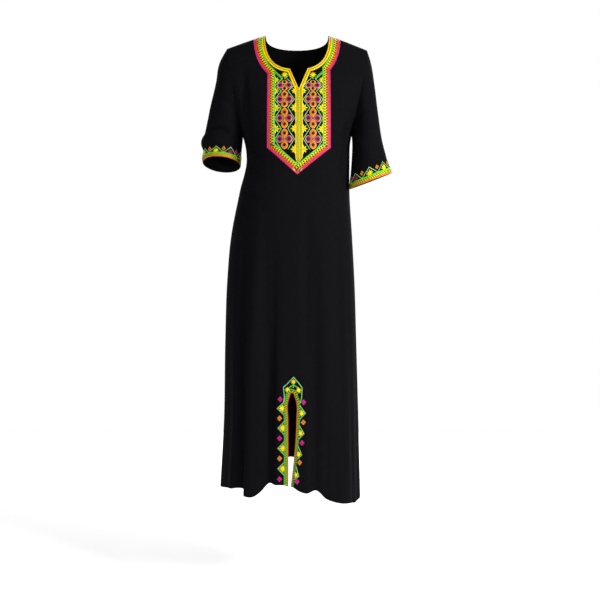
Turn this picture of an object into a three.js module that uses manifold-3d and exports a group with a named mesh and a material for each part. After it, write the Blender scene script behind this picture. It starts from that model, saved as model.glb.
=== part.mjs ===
// A jebba as it hangs when worn: a loose black dress with elbow-length sleeves, a round neck notched at the
// front, an embroidered yoke, braided cuffs and a braid-edged slit at the front of the hem.
// Millimetres, +Z up, front towards -Y, the wearer's left towards +X.
// The origin is midway between the two shoulder seams, where a wearer's shoulders carry the dress.
import * as THREE from 'three';
import { mergeVertices } from 'three/addons/utils/BufferGeometryUtils.js';
import Module from 'manifold-3d';

const manifold = await Module();
manifold.setup();

const clothWall = 1.5;
const trimWall = 1.2;
const seamGap = 0.3;
const squareness = 2.3; // exponent of the body's rounded sections, where 2 is an ellipse
const sharpestSeam = 0.3; // least share of a seam's common direction that a sheet is taken to face
const mitreLimit = 0.6; // the same share, below which a wall's mitre gets no longer
const rimCorner = { sharpest: 0.4, longest: 2 }; // how far a rim's trim is stretched at a corner

const shoulder = {
  neckHalf: 84,
  tipHalf: 188,
  top: 26,
  slopeRight: 0.36,
  slopeLeft: 0.4,
  soften: 24,
  round: 55, // drop over which the cloth turns from the shoulder seam to its full depth
};
const armhole = { drop: 245, inward: 42, inwardPower: 1.3, front: 58, back: 62, ringSteps: 12 };
const neck = { half: 84, top: 22, frontDepth: 107, frontPower: 2.65, backDepth: 24, backPower: 2.3 };
const notch = { centre: 5, half: 22.5, bottom: -139 };
const yoke = {
  centre: 5,
  half: 82,
  collarHalf: 116,
  collarDepth: 149,
  collarPower: 2.3,
  cornerZ: -295,
  tipX: 1,
  tipZ: -366,
};
const backBand = { half: 115, depth: 52 };
const hemDrop = 1175;
const hemSwingFrom = 700; // above this drop the cloth hangs level, below it the hem line sets the slope
const slit = { top: 934, open: 955, lipSpread: 15 };
const slitBraid = { width: 11.5, archCentre: -9, archHalf: 26, shoulderZ: -910, tipZ: -884 };

// Reach of the cloth from the origin at each drop below the shoulder line; right and left are the wearer's.
const sections = [
  { drop: 0, right: 146, left: 146, front: 50, back: 52 },
  { drop: 60, right: 146, left: 146, front: 64, back: 68 },
  { drop: 120, right: 146, left: 146, front: 92, back: 90 },
  { drop: 180, right: 146, left: 146, front: 111, back: 98 },
  { drop: 245, right: 146, left: 146, front: 121, back: 96 },
  { drop: 272, right: 139, left: 142, front: 122.4, back: 94.5 },
  { drop: 310, right: 135, left: 141, front: 122.8, back: 93.5 },
  { drop: 400, right: 154, left: 141, front: 120.5, back: 98 },
  { drop: 520, right: 177, left: 148, front: 121, back: 117 },
  { drop: 640, right: 187, left: 154, front: 126, back: 127 },
  { drop: 800, right: 191, left: 158, front: 133, back: 133 },
  { drop: 1000, right: 193, left: 163, front: 142, back: 141 },
  { drop: 1175, right: 202, left: 167, front: 150, back: 148 },
];

// Height of the hem round the body, by turn: 0 is the centre front, 90 the wearer's left, 180 the back.
const hemLine = [
  { turn: -180, drop: 1135 },
  { turn: -130, drop: 1160 },
  { turn: -90, drop: 1187 },
  { turn: -70, drop: 1183 },
  { turn: -53, drop: 1178 },
  { turn: -43, drop: 1177 },
  { turn: -39, drop: 1187 },
  { turn: -33, drop: 1191 },
  { turn: -26, drop: 1190 },
  { turn: -21, drop: 1177 },
  { turn: -17, drop: 1160 },
  { turn: -9, drop: 1159 },
  { turn: 0, drop: 1162 },
  { turn: 5, drop: 1175 },
  { turn: 10, drop: 1180 },
  { turn: 16, drop: 1177 },
  { turn: 20, drop: 1176 },
  { turn: 27, drop: 1196 },
  { turn: 35, drop: 1207 },
  { turn: 53, drop: 1215 },
  { turn: 76, drop: 1222 },
  { turn: 90, drop: 1217 },
  { turn: 135, drop: 1168 },
  { turn: 180, drop: 1135 },
];

// Hanging folds: where each lies at the hem, how far round it starts from there, its depth in or out,
// its width in degrees, and the drop where it begins.
const folds = [
  { turn: -42, lean: -4, out: -17, width: 4.5, from: 480 },
  { turn: -32, lean: -4, out: 10, width: 7.5, from: 480 },
  { turn: -15.5, lean: -6, out: -15, width: 5, from: 340 },
  { turn: 19, lean: 0, out: -12, width: 5, from: 440 },
  { turn: 28, lean: 1, out: -5, width: 4, from: 850 },
  { turn: 46, lean: 0, out: 9, width: 11, from: 560 },
  { turn: -66, lean: 0, out: -6, width: 8, from: 600 },
  { turn: 76, lean: 0, out: -5, width: 7, from: 700 },
  { turn: 112, lean: 3, out: -11, width: 7, from: 520 },
  { turn: 128, lean: 3, out: 8, width: 8, from: 520 },
  { turn: 150, lean: 5, out: -15, width: 6, from: 460 },
  { turn: 178, lean: 0, out: -10, width: 7, from: 620 },
  { turn: 196, lean: 0, out: 7, width: 8, from: 600 },
  { turn: 212, lean: -5, out: -15, width: 6, from: 460 },
  { turn: 244, lean: -3, out: -11, width: 7, from: 520 },
];

// The slit's opening: half its width, and how far its middle lies from the cloth's middle, towards
// the wearer's left.
const slitGap = [
  { drop: 934, half: 0, shift: 3 },
  { drop: 943, half: 6, shift: 3.1 },
  { drop: 955, half: 9.4, shift: 3.2 },
  { drop: 1005, half: 9.8, shift: 3.6 },
  { drop: 1084, half: 7.6, shift: 2.5 },
  { drop: 1136, half: 5, shift: 0.8 },
  { drop: 1175, half: 2.9, shift: -0.9 },
];

// Each sleeve runs from its armhole to an oval cuff, given by the cuff's centre and the way from there
// to its outer and front edges. Swell is how far the outer side bulges at each share of the length.
const sleeves = {
  sleeve_left: {
    side: 1,
    cuffCentre: [195.5, -42, -373],
    toOuter: [55.5, 0, 21.5],
    toFront: [0, -55, -4],
    underarmEase: 4.5,
    creaseDepth: 1.5,
    creaseAt: 0.9,
    swell: [
      { along: 0, out: 0 },
      { along: 0.09, out: 3.5 },
      { along: 0.28, out: 1.5 },
      { along: 0.5, out: -4 },
      { along: 0.8, out: -7.5 },
      { along: 0.92, out: -3 },
      { along: 1, out: 0 },
    ],
  },
  sleeve_right: {
    side: -1,
    cuffCentre: [-204, 6, -322],
    toOuter: [-50, 0, 5.5],
    toFront: [4, -52, 14],
    underarmEase: 0,
    creaseDepth: 7,
    creaseAt: 0.9,
    swell: [
      { along: 0, out: 0 },
      { along: 0.12, out: 12 },
      { along: 0.3, out: 10.5 },
      { along: 0.52, out: 12 },
      { along: 0.72, out: 12 },
      { along: 0.83, out: 17 },
      { along: 0.91, out: 11 },
      { along: 1, out: 0 },
    ],
  },
};
const sleeveOuterPower = 1.5; // how closely the swell keeps to the sleeve's outer side
const cuffCrease = { spread: 0.045, roundPast: 1.4 };
const sleeveRows = [0, 0.07, 0.17, 0.3, 0.44, 0.58, 0.7, 0.77, 0.83, 0.89, 0.95, 1];

const counts = { shoulder: 7, neckCurve: 6, neckFlat: 4, notch: 3, backNeck: 7, skirtRows: 14, slitRows: 6 };
const yokeCounts = { collar: 10, back: 16 };
const aboveNeck = 60; // how far past the cloth's edge the trims' outlines are closed
const cutterReach = 400; // depth of the straight block that a trim's outline is cut with

const colours = { cloth: 0x17161a, embroidery: 0xd9c62b, braid: 0xb5a92c };

const radians = THREE.MathUtils.degToRad;
const degrees = THREE.MathUtils.radToDeg;
const lerp = THREE.MathUtils.lerp;
const smooth = (t) => THREE.MathUtils.smoothstep(t, 0, 1);

// Value of a table's column at x, on a smooth curve through its rows.
function readTable(rows, key, column, x) {
  if (x <= rows[0][key]) return rows[0][column];
  const last = rows.length - 1;
  if (x >= rows[last][key]) return rows[last][column];
  let i = 0;
  while (rows[i + 1][key] < x) i += 1;
  const spanSlope = (k) => (rows[k + 1][column] - rows[k][column]) / (rows[k + 1][key] - rows[k][key]);
  const slopeAt = (k) => {
    if (k === 0) return spanSlope(0);
    if (k === last) return spanSlope(last - 1);
    const before = rows[k][key] - rows[k - 1][key];
    const after = rows[k + 1][key] - rows[k][key];
    return (spanSlope(k - 1) * after + spanSlope(k) * before) / (before + after);
  };
  const span = rows[i + 1][key] - rows[i][key];
  const t = (x - rows[i][key]) / span;
  const rise = rows[i + 1][column] - rows[i][column];
  const startSlope = slopeAt(i) * span;
  const endSlope = slopeAt(i + 1) * span;
  const bend = (startSlope - rise) * (1 - t) + (rise - endSlope) * t;
  return rows[i][column] + rise * t + bend * t * (1 - t);
}

// Height of the shoulder line over x, level across the neck and sloping to the shoulder tips.
function shoulderHeight(x) {
  const past = Math.abs(x) - shoulder.neckHalf;
  const slope = lerp(shoulder.slopeRight, shoulder.slopeLeft, smooth(x / shoulder.neckHalf));
  return shoulder.top - (slope * (past + Math.hypot(past, shoulder.soften))) / 2;
}

const shoulderShare = (drop) => 1 - smooth(drop / armhole.drop);

// The armhole ring on one side of the body: how far out and how far forward or back it lies at each drop.
function armholeOut(drop) {
  return shoulder.tipHalf - armhole.inward * Math.pow(drop / armhole.drop, armhole.inwardPower);
}
function armholeReach(face, drop) {
  const along = Math.min(drop / armhole.drop, 1);
  return armhole[face] * Math.sqrt(1 - (1 - 2 * along) ** 2);
}

function depthAt(face, drop) {
  const turned = Math.min(drop / shoulder.round, 1);
  return readTable(sections, 'drop', face, drop) * Math.sqrt(1 - (1 - turned) ** 2);
}

// The section at a drop: its centre, its half width, and the angle where its front or back half ends.
function sectionAt(face, drop) {
  const right = readTable(sections, 'drop', 'right', drop);
  const left = readTable(sections, 'drop', 'left', drop);
  const depth = depthAt(face, drop);
  if (drop >= armhole.drop) {
    return { centre: (left - right) / 2, half: (left + right) / 2, edge: Math.PI / 2, depth };
  }
  const edge = Math.acos(Math.pow(armholeReach(face, drop) / depth, squareness / 2));
  const half = armholeOut(drop) / Math.pow(Math.sin(edge), 2 / squareness);
  return { centre: 0, half, edge, depth };
}

// How far the hanging folds push the cloth in or out at a turn round the body.
function foldAt(turn, drop) {
  let out = 0;
  for (const fold of folds) {
    const grown = smooth((drop - fold.from) / (hemDrop - fold.from));
    const away = turn - fold.turn - fold.lean * (1 - grown);
    const wrapped = away - 360 * Math.round(away / 360);
    out += fold.out * grown * Math.exp(-((wrapped / fold.width) ** 2));
  }
  return out;
}

// A point of the body's cloth. Across runs from -1 at the wearer's right edge to 1 at the left edge,
// and lip says which side of the slit a centre point is on.
function bodyPoint(face, across, dropAsked, lip = Math.sign(across)) {
  const drop = Math.max(dropAsked, 1e-4);
  const section = sectionAt(face, drop);
  const angle = across * section.edge;
  const reachX = Math.sign(across) * section.half * Math.pow(Math.abs(Math.sin(angle)), 2 / squareness);
  const facing = face === 'front' ? -1 : 1;
  const reachY = facing * section.depth * Math.pow(Math.cos(angle), 2 / squareness);
  const turn = face === 'front' ? degrees(angle) : 180 - degrees(angle);
  const push = foldAt(turn, drop) / Math.max(Math.hypot(reachX, reachY), 1);
  let x = section.centre + reachX * (1 + push);
  if (face === 'front' && drop >= slit.top) {
    const spread = Math.max(0, 1 - Math.abs(turn) / slit.lipSpread);
    const opened = lip * readTable(slitGap, 'drop', 'half', drop);
    x += (readTable(slitGap, 'drop', 'shift', drop) + opened) * spread;
  }
  const wrapped = turn > 180 ? turn - 360 : turn;
  const swing = smooth((drop - hemSwingFrom) / (hemDrop - hemSwingFrom));
  const dip = (readTable(hemLine, 'turn', 'drop', wrapped) - hemDrop) * swing;
  const z = shoulderHeight(x) * shoulderShare(drop) - drop - dip;
  return new THREE.Vector3(x, reachY * (1 + push), z);
}

const lookSteps = 12;

// The across and drop of the cloth that a straight look from the front or back meets at x and z.
function lookThrough(face, x, z) {
  let drop = Math.max(shoulderHeight(x) - z, 0);
  for (let i = 0; i < lookSteps; i += 1) drop = Math.max(shoulderHeight(x) * shoulderShare(drop) - z, 0);
  const section = sectionAt(face, Math.max(drop, 1e-4));
  const share = Math.min(Math.abs(x - section.centre) / section.half, 1);
  const angle = Math.asin(Math.pow(share, squareness / 2));
  return { across: (Math.sign(x - section.centre) * angle) / section.edge, drop };
}

// A sheet of cloth: its points and its triangles, wound so that they face outwards.
function gridSheet(rows, columns, pointAt, keep = () => true) {
  const points = [];
  const faces = [];
  for (let r = 0; r <= rows; r += 1) for (let c = 0; c <= columns; c += 1) points.push(pointAt(r, c));
  const at = (r, c) => r * (columns + 1) + c;
  for (let r = 0; r < rows; r += 1) {
    for (let c = 0; c < columns; c += 1) {
      if (keep(r, c, 0)) faces.push([at(r, c), at(r + 1, c), at(r + 1, c + 1)]);
      if (keep(r, c, 1)) faces.push([at(r, c), at(r + 1, c + 1), at(r, c + 1)]);
    }
  }
  return weld({ points, faces });
}

const placeKey = (p) => [p.x, p.y, p.z].map((v) => Math.round(v * 50)).join(' ');

// Joins a sheet's points that lie in one place, and drops unused points and flat triangles.
function weld(sheet) {
  const points = [];
  const found = new Map();
  const renumbered = sheet.points.map(() => -1);
  const numberOf = (i) => {
    if (renumbered[i] >= 0) return renumbered[i];
    const key = placeKey(sheet.points[i]);
    if (!found.has(key)) {
      found.set(key, points.length);
      points.push(sheet.points[i]);
    }
    renumbered[i] = found.get(key);
    return renumbered[i];
  };
  const faces = sheet.faces
    .map((face) => face.map(numberOf))
    .filter(([a, b, c]) => a !== b && b !== c && c !== a);
  return { points, faces };
}

const flipped = (sheet) => ({ points: sheet.points, faces: sheet.faces.map(([a, b, c]) => [a, c, b]) });

// Outward directions for every place, shared by the sheets that meet there.
function sharedNormals(sheets) {
  const normals = new Map();
  for (const { points, faces } of sheets) {
    for (const [a, b, c] of faces) {
      const one = new THREE.Vector3().subVectors(points[b], points[a]);
      const other = new THREE.Vector3().subVectors(points[c], points[a]);
      const normal = one.cross(other);
      for (const i of [a, b, c]) {
        const key = placeKey(points[i]);
        if (!normals.has(key)) normals.set(key, new THREE.Vector3());
        normals.get(key).add(normal);
      }
    }
  }
  for (const normal of normals.values()) normal.normalize();
  return normals;
}

// The rim of a sheet, as directed edges.
function rimOf(faces) {
  const edges = new Map();
  for (const [a, b, c] of faces) {
    for (const [from, to] of [[a, b], [b, c], [c, a]]) edges.set(`${from} ${to}`, [from, to]);
  }
  return [...edges.values()].filter(([from, to]) => !edges.has(`${to} ${from}`));
}

// How squarely each of a sheet's points faces the direction it shares with the sheets it meets.
function squarenessOf(sheet, normals) {
  const own = sharedNormals([sheet]);
  return sheet.points.map((point) => {
    const key = placeKey(point);
    return Math.max(own.get(key).dot(normals.get(key)), sharpestSeam);
  });
}

// Moves the rim in along the sheet, so that half the seam gap is left beside it even at a sharp seam.
function trimRim(sheet, normals, square) {
  const own = sharedNormals([sheet]);
  const inward = new Map();
  for (const [from, to] of rimOf(sheet.faces)) {
    const along = new THREE.Vector3().subVectors(sheet.points[to], sheet.points[from]).normalize();
    for (const i of [from, to]) {
      const into = new THREE.Vector3().crossVectors(own.get(placeKey(sheet.points[i])), along);
      if (!inward.has(i)) inward.set(i, []);
      inward.get(i).push(into.normalize());
    }
  }
  return sheet.points.map((point, i) => {
    if (!inward.has(i)) return point.clone();
    const [one, other = one] = inward.get(i);
    const middle = one.clone().add(other).normalize();
    const turned = Math.max(middle.dot(one), rimCorner.sharpest);
    const stretch = Math.min(1 / turned, rimCorner.longest) / square[i];
    return point.clone().addScaledVector(middle, (seamGap / 2) * stretch);
  });
}

// A closed wall over a sheet, between two distances from it along the outward directions.
function wallOver(sheet, normals, inner, outer) {
  const square = squarenessOf(sheet, normals);
  const placed = trimRim(sheet, normals, square);
  const count = placed.length;
  const positions = [];
  for (const distance of [outer, inner]) {
    placed.forEach((point, i) => {
      const mitred = distance / Math.max(square[i], mitreLimit);
      const moved = point.clone().addScaledVector(normals.get(placeKey(sheet.points[i])), mitred);
      positions.push(moved.x, moved.y, moved.z);
    });
  }
  const index = [];
  for (const [a, b, c] of sheet.faces) index.push(a, b, c, a + count, c + count, b + count);
  for (const [from, to] of rimOf(sheet.faces)) {
    // Sheets that meet at a seam split the faces along it the same way, so they stay clear where it twists.
    if (placeKey(sheet.points[from]) < placeKey(sheet.points[to])) {
      index.push(from, from + count, to + count, from, to + count, to);
    } else {
      index.push(to, from, from + count, to, from + count, to + count);
    }
  }
  const geometry = new THREE.BufferGeometry();
  geometry.setAttribute('position', new THREE.Float32BufferAttribute(positions, 3));
  geometry.setIndex(index);
  geometry.computeVertexNormals();
  return geometry;
}

function solidFrom(geometry) {
  const bare = new THREE.BufferGeometry();
  bare.setAttribute('position', geometry.getAttribute('position'));
  if (geometry.index) bare.setIndex(geometry.index);
  const merged = mergeVertices(bare, 1e-4);
  const triVerts = new Uint32Array(merged.index.array);
  const vertProperties = merged.getAttribute('position').array;
  return new manifold.Manifold(new manifold.Mesh({ numProp: 3, vertProperties, triVerts }));
}

function geometryFrom(solid) {
  const mesh = solid.getMesh();
  const geometry = new THREE.BufferGeometry();
  geometry.setAttribute('position', new THREE.Float32BufferAttribute(mesh.vertProperties, 3));
  geometry.setIndex([...mesh.triVerts]);
  geometry.computeVertexNormals();
  return geometry;
}

// The part of a layer over the front or back panel that lies behind an outline of places seen straight on.
function cutLayer(layer, face, outline) {
  const shape = new THREE.Shape(outline.map(({ x, z }) => new THREE.Vector2(x, z)));
  const cutter = new THREE.ExtrudeGeometry(shape, { depth: cutterReach, bevelEnabled: false });
  cutter.rotateX(Math.PI / 2);
  if (face === 'back') cutter.translate(0, cutterReach, 0);
  return geometryFrom(solidFrom(layer).intersect(solidFrom(cutter)));
}

const columnCrowding = { strength: 1.6, reach: 9, samples: 720 };

// Places from start to end in steps that are closer together where the folds lie.
function foldSpacedTurns(start, end, steps) {
  const { strength, reach, samples } = columnCrowding;
  const crowding = (turn) => {
    let sum = 1;
    for (const fold of folds) {
      const away = turn - fold.turn - 360 * Math.round((turn - fold.turn) / 360);
      sum += strength * Math.exp(-((away / reach) ** 2));
    }
    return sum;
  };
  const turnAt = (i) => lerp(start, end, i / samples);
  const gathered = [0];
  for (let i = 1; i <= samples; i += 1) gathered.push(gathered[i - 1] + crowding(turnAt(i)));
  const turns = [];
  for (let k = 0, i = 0; k <= steps; k += 1) {
    const wanted = (gathered[samples] * k) / steps;
    while (i < samples && gathered[i] < wanted) i += 1;
    turns.push(turnAt(i));
  }
  return turns;
}

// The front neckline from the wearer's right neck point to the bottom of the notch, and on to the left one.
function neckCurve(face, share) {
  const depth = neck[`${face}Depth`];
  const power = neck[`${face}Power`];
  const angle = (share * Math.PI) / 2;
  return {
    x: neck.half * Math.pow(Math.cos(angle), 2 / power),
    z: neck.top - depth * Math.pow(Math.sin(angle), 2 / power),
  };
}

// Share of the front neck curve where it reaches a distance x from the middle.
function neckShareAt(x) {
  return (Math.acos(Math.pow(x / neck.half, neck.frontPower / 2)) * 2) / Math.PI;
}

const neckCurveEnd = 0.52; // where the neck curve turns from steep to level

// One half of the front neckline, from the neck point to the notch, as straight-look places.
function frontNeckHalf(side) {
  const cornerX = notch.half + side * notch.centre;
  const cornerShare = neckShareAt(cornerX);
  const places = [];
  for (let i = 0; i <= counts.neckCurve; i += 1) {
    places.push(neckCurve('front', (neckCurveEnd * i) / counts.neckCurve));
  }
  for (let i = 1; i <= counts.neckFlat; i += 1) {
    places.push(neckCurve('front', lerp(neckCurveEnd, cornerShare, i / counts.neckFlat)));
  }
  const corner = places[places.length - 1];
  for (let i = 1; i <= counts.notch; i += 1) {
    places.push({
      x: lerp(corner.x, side * notch.centre, i / counts.notch),
      z: lerp(corner.z, notch.bottom, i / counts.notch),
    });
  }
  return places.map(({ x, z }) => lookThrough('front', side * x, z));
}

// The top edge of a panel as across and drop, from the wearer's right shoulder tip to the left one.
function topEdge(face) {
  const half = (side) => {
    const places = [];
    for (let i = 0; i < counts.shoulder; i += 1) {
      const x = lerp(shoulder.tipHalf, shoulder.neckHalf, i / counts.shoulder);
      places.push(lookThrough(face, side * x, shoulderHeight(side * x)));
    }
    if (face === 'front') return [...places, ...frontNeckHalf(side)];
    for (let i = 0; i <= counts.backNeck; i += 1) {
      const { x, z } = neckCurve('back', i / counts.backNeck);
      places.push(lookThrough('back', side * x, z));
    }
    return places;
  };
  const right = half(-1);
  const left = half(1).reverse();
  return [...right, ...left.slice(1)];
}

const ringDrops = Array.from(
  { length: armhole.ringSteps + 1 },
  (_, k) => (armhole.drop * (1 - Math.cos((Math.PI * k) / armhole.ringSteps))) / 2,
);
const yokeRows = 8; // rows between the top edge and the first level row
const evenSteps = (from, to, steps) =>
  Array.from({ length: steps }, (_, i) => lerp(from, to, (i + 1) / steps));
const levelDrops = [
  ...ringDrops.slice(yokeRows + 1),
  ...evenSteps(armhole.drop, slit.top, counts.skirtRows),
  slit.open,
  ...evenSteps(slit.open, hemDrop, counts.slitRows),
];
const panelRows = yokeRows + levelDrops.length;

// A body panel from its top edge to the hem. The front one is cut at the centre below the slit's top.
function bodyPanel(face, halfColumns) {
  const edge = topEdge(face);
  const turns = [
    ...foldSpacedTurns(face === 'front' ? -90 : 270, face === 'front' ? 0 : 180, halfColumns),
    ...foldSpacedTurns(face === 'front' ? 0 : 180, 90, halfColumns).slice(1),
  ];
  const acrossOf = (turn) => (face === 'front' ? turn : 180 - turn) / 90;
  const place = (row, column, lip) => {
    const top = edge[column];
    const low = acrossOf(turns[column]);
    if (row > yokeRows) return bodyPoint(face, low, levelDrops[row - yokeRows - 1], lip);
    const share = ringDrops[row] / ringDrops[yokeRows];
    return bodyPoint(face, lerp(top.across, low, share), lerp(top.drop, ringDrops[yokeRows], share), lip);
  };
  const rightHalf = gridSheet(panelRows, halfColumns, (r, c) => place(r, c, -1));
  const leftHalf = gridSheet(panelRows, halfColumns, (r, c) => place(r, c + halfColumns, 1));
  const whole = weld({
    points: [...rightHalf.points, ...leftHalf.points],
    faces: [
      ...rightHalf.faces,
      ...leftHalf.faces.map((corners) => corners.map((i) => i + rightHalf.points.length)),
    ],
  });
  return face === 'front' ? whole : flipped(whole);
}

// The sleeve's cloth at an angle round it, 0 on top and 90 in front, and a share of its length.
function sleevePoint(sleeve, ringDrop, face, along) {
  const start = new THREE.Vector3(
    sleeve.side * armholeOut(ringDrop),
    (face === 'front' ? -1 : 1) * armholeReach(face, ringDrop),
    0,
  );
  start.z = shoulderHeight(start.x) * shoulderShare(ringDrop) - ringDrop;
  const round = 1 - (2 * ringDrop) / armhole.drop;
  const forward = (face === 'front' ? 1 : -1) * Math.sqrt(Math.max(1 - round * round, 0));
  const cuff = new THREE.Vector3(...sleeve.cuffCentre)
    .addScaledVector(new THREE.Vector3(...sleeve.toOuter), round)
    .addScaledVector(new THREE.Vector3(...sleeve.toFront), forward);
  const point = start.lerp(cuff, along);
  const outer = Math.max(round, 0) ** sleeveOuterPower;
  const fromCrease = (along - sleeve.creaseAt) / cuffCrease.spread;
  const crease = Math.exp(-(fromCrease ** 2)) * smooth((round + 1) / cuffCrease.roundPast);
  const out = (readTable(sleeve.swell, 'along', 'out', along) - sleeve.creaseDepth * crease) * outer;
  const eased = sleeve.underarmEase * Math.max(-round, 0) * Math.sin(Math.PI * Math.sqrt(along));
  point.x += sleeve.side * (out + eased);
  point.y += forward * sleeve.creaseDepth * crease;
  return point;
}

// A sleeve's points, row by row from armhole to cuff and column by column round it.
function sleeveGrid(sleeve) {
  const columns = 2 * armhole.ringSteps;
  const place = (row, column) => {
    const step = column <= armhole.ringSteps ? column : columns - column;
    const face = column <= armhole.ringSteps ? 'front' : 'back';
    return sleevePoint(sleeve, ringDrops[step], face, sleeveRows[row]);
  };
  const turned = (sheet) => (sleeve.side > 0 ? flipped(sheet) : sheet);
  const lastRow = sleeveRows.length - 1;
  return {
    cloth: turned(gridSheet(lastRow, columns, place)),
    braid: turned(gridSheet(1, columns, (row, column) => place(lastRow - 1 + row, column))),
  };
}

// The yoke's outline seen from the front: the collar's outer curve, the straight sides and the point.
// It stays open above the neckline, where the panel itself ends.
function yokeOutline() {
  const half = (side) => {
    const places = [{ x: side * yoke.collarHalf, z: aboveNeck }];
    const endX = yoke.half + side * yoke.centre;
    const endAngle = Math.acos(Math.pow(endX / yoke.collarHalf, yoke.collarPower / 2));
    for (let i = 0; i <= yokeCounts.collar; i += 1) {
      const angle = (endAngle * i) / yokeCounts.collar;
      const x = side * yoke.collarHalf * Math.pow(Math.cos(angle), 2 / yoke.collarPower);
      places.push({ x, z: neck.top - yoke.collarDepth * Math.pow(Math.sin(angle), 2 / yoke.collarPower) });
    }
    places.push({ x: side * endX, z: yoke.cornerZ });
    return places;
  };
  return [...half(-1), { x: yoke.tipX, z: yoke.tipZ }, ...half(1).reverse()];
}

// The outline of the band round the back of the neck, which carries the collar on from the yoke.
function backBandOutline() {
  const places = [{ x: -backBand.half, z: aboveNeck }];
  for (let i = 0; i <= yokeCounts.back; i += 1) {
    const angle = (Math.PI * i) / yokeCounts.back;
    const level = Math.abs(Math.cos(angle));
    const x = -Math.sign(Math.cos(angle)) * backBand.half * Math.pow(level, 2 / neck.backPower);
    places.push({ x, z: neck.top - backBand.depth * Math.pow(Math.sin(angle), 2 / neck.backPower) });
  }
  return [...places, { x: backBand.half, z: aboveNeck }];
}

// The outline of the braid round the slit, with a pointed arch at its top, open below the hem.
function slitBraidOutline() {
  const strip = (lip) =>
    slitGap.slice(2).map(({ drop }) => {
      const { x, z } = bodyPoint('front', 0, drop, lip);
      return { x: x + lip * slitBraid.width, z };
    });
  const belowHem = ({ x }) => ({ x, z: -hemDrop - aboveNeck });
  const corner = (lip) => ({ x: slitBraid.archCentre + lip * slitBraid.archHalf, z: slitBraid.shoulderZ });
  const right = strip(-1).reverse();
  const left = strip(1);
  return [
    belowHem(right[0]),
    ...right,
    corner(-1),
    { x: slitBraid.archCentre, z: slitBraid.tipZ },
    corner(1),
    ...left,
    belowHem(left[left.length - 1]),
  ];
}

const halfColumns = {
  front: counts.shoulder + counts.neckCurve + counts.neckFlat + counts.notch,
  back: counts.shoulder + counts.backNeck,
};
const front = bodyPanel('front', halfColumns.front);
const back = bodyPanel('back', halfColumns.back);
const sleeveSheets = Object.entries(sleeves).map(([name, sleeve]) => [name, sleeveGrid(sleeve)]);

const clothNormals = sharedNormals([front, back, ...sleeveSheets.map(([, grid]) => grid.cloth)]);

const materials = {
  cloth: new THREE.MeshStandardMaterial({ color: colours.cloth, roughness: 0.85, metalness: 0 }),
  embroidery: new THREE.MeshStandardMaterial({ color: colours.embroidery, roughness: 0.6, metalness: 0 }),
  braid: new THREE.MeshStandardMaterial({ color: colours.braid, roughness: 0.6, metalness: 0 }),
};

const jebba = new THREE.Group();
jebba.name = 'jebba';

function addPiece(name, material, geometry) {
  const mesh = new THREE.Mesh(geometry, materials[material]);
  mesh.name = name;
  jebba.add(mesh);
}

const halfCloth = clothWall / 2;
const trimInner = halfCloth + seamGap;
const trimOuter = trimInner + trimWall;
const trimLayer = (sheet) => wallOver(sheet, clothNormals, trimInner, trimOuter);

addPiece('front_panel', 'cloth', wallOver(front, clothNormals, -halfCloth, halfCloth));
addPiece('back_panel', 'cloth', wallOver(back, clothNormals, -halfCloth, halfCloth));
for (const [name, grid] of sleeveSheets) {
  addPiece(name, 'cloth', wallOver(grid.cloth, clothNormals, -halfCloth, halfCloth));
  const braidName = name.replace('sleeve', 'cuff_braid');
  addPiece(braidName, 'braid', trimLayer(grid.braid));
}
addPiece('neck_yoke', 'embroidery', cutLayer(trimLayer(front), 'front', yokeOutline()));
addPiece('neck_band_back', 'embroidery', cutLayer(trimLayer(back), 'back', backBandOutline()));
addPiece('slit_braid', 'braid', cutLayer(trimLayer(front), 'front', slitBraidOutline()));

export default jebba;
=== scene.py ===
# A black crepe jebba in its worn form, with satin embroidery at the neck, cuffs and hem slit.
# Lengths are in millimetres until a mesh is made. +Z is up, the front faces -Y.
import math
import bpy
import numpy as np
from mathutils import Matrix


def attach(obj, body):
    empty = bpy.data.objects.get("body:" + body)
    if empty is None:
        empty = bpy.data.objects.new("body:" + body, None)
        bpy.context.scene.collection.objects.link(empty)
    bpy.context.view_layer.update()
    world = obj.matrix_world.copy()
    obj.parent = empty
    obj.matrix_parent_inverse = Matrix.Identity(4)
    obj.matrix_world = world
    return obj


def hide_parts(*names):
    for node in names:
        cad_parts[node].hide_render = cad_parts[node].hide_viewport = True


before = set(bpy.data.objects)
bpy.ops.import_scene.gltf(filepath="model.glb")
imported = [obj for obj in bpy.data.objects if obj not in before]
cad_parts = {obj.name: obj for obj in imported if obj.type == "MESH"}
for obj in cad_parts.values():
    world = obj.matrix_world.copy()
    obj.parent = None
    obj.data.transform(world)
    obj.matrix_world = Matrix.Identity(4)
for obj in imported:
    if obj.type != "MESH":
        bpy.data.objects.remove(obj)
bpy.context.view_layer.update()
mm = 0.001
print("frame loaded")


def table(keys, *rows):
    # rows of settings under shared keys
    return [dict(zip(keys, row)) for row in rows]


# The cut of the body, as the maker drafts it
shoulder = {"neckHalf": 84, "tipHalf": 188, "top": 26, "slopeRight": 0.36, "slopeLeft": 0.4,
            "soften": 24, "round": 55}
armhole = {"drop": 245, "inward": 42, "inwardPower": 1.3, "front": 58, "back": 62}
neck = {"half": 84, "top": 22,
        "front": {"depth": 107, "power": 2.65},
        "back": {"depth": 24, "power": 2.3}}
notch = {"centre": 5, "half": 22.5, "bottom": -139}
squareness = 2.3  # 2 would make the body's sections ellipses
justOff = 1e-4  # keeps a place just off the shoulder line, or just beside the slit
tiny = 1e-6  # stands in for nought where something is divided
shortest = 1e-9  # the same for the length of a direction
hemDrop = 1175
hemSwingFrom = 700

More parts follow.
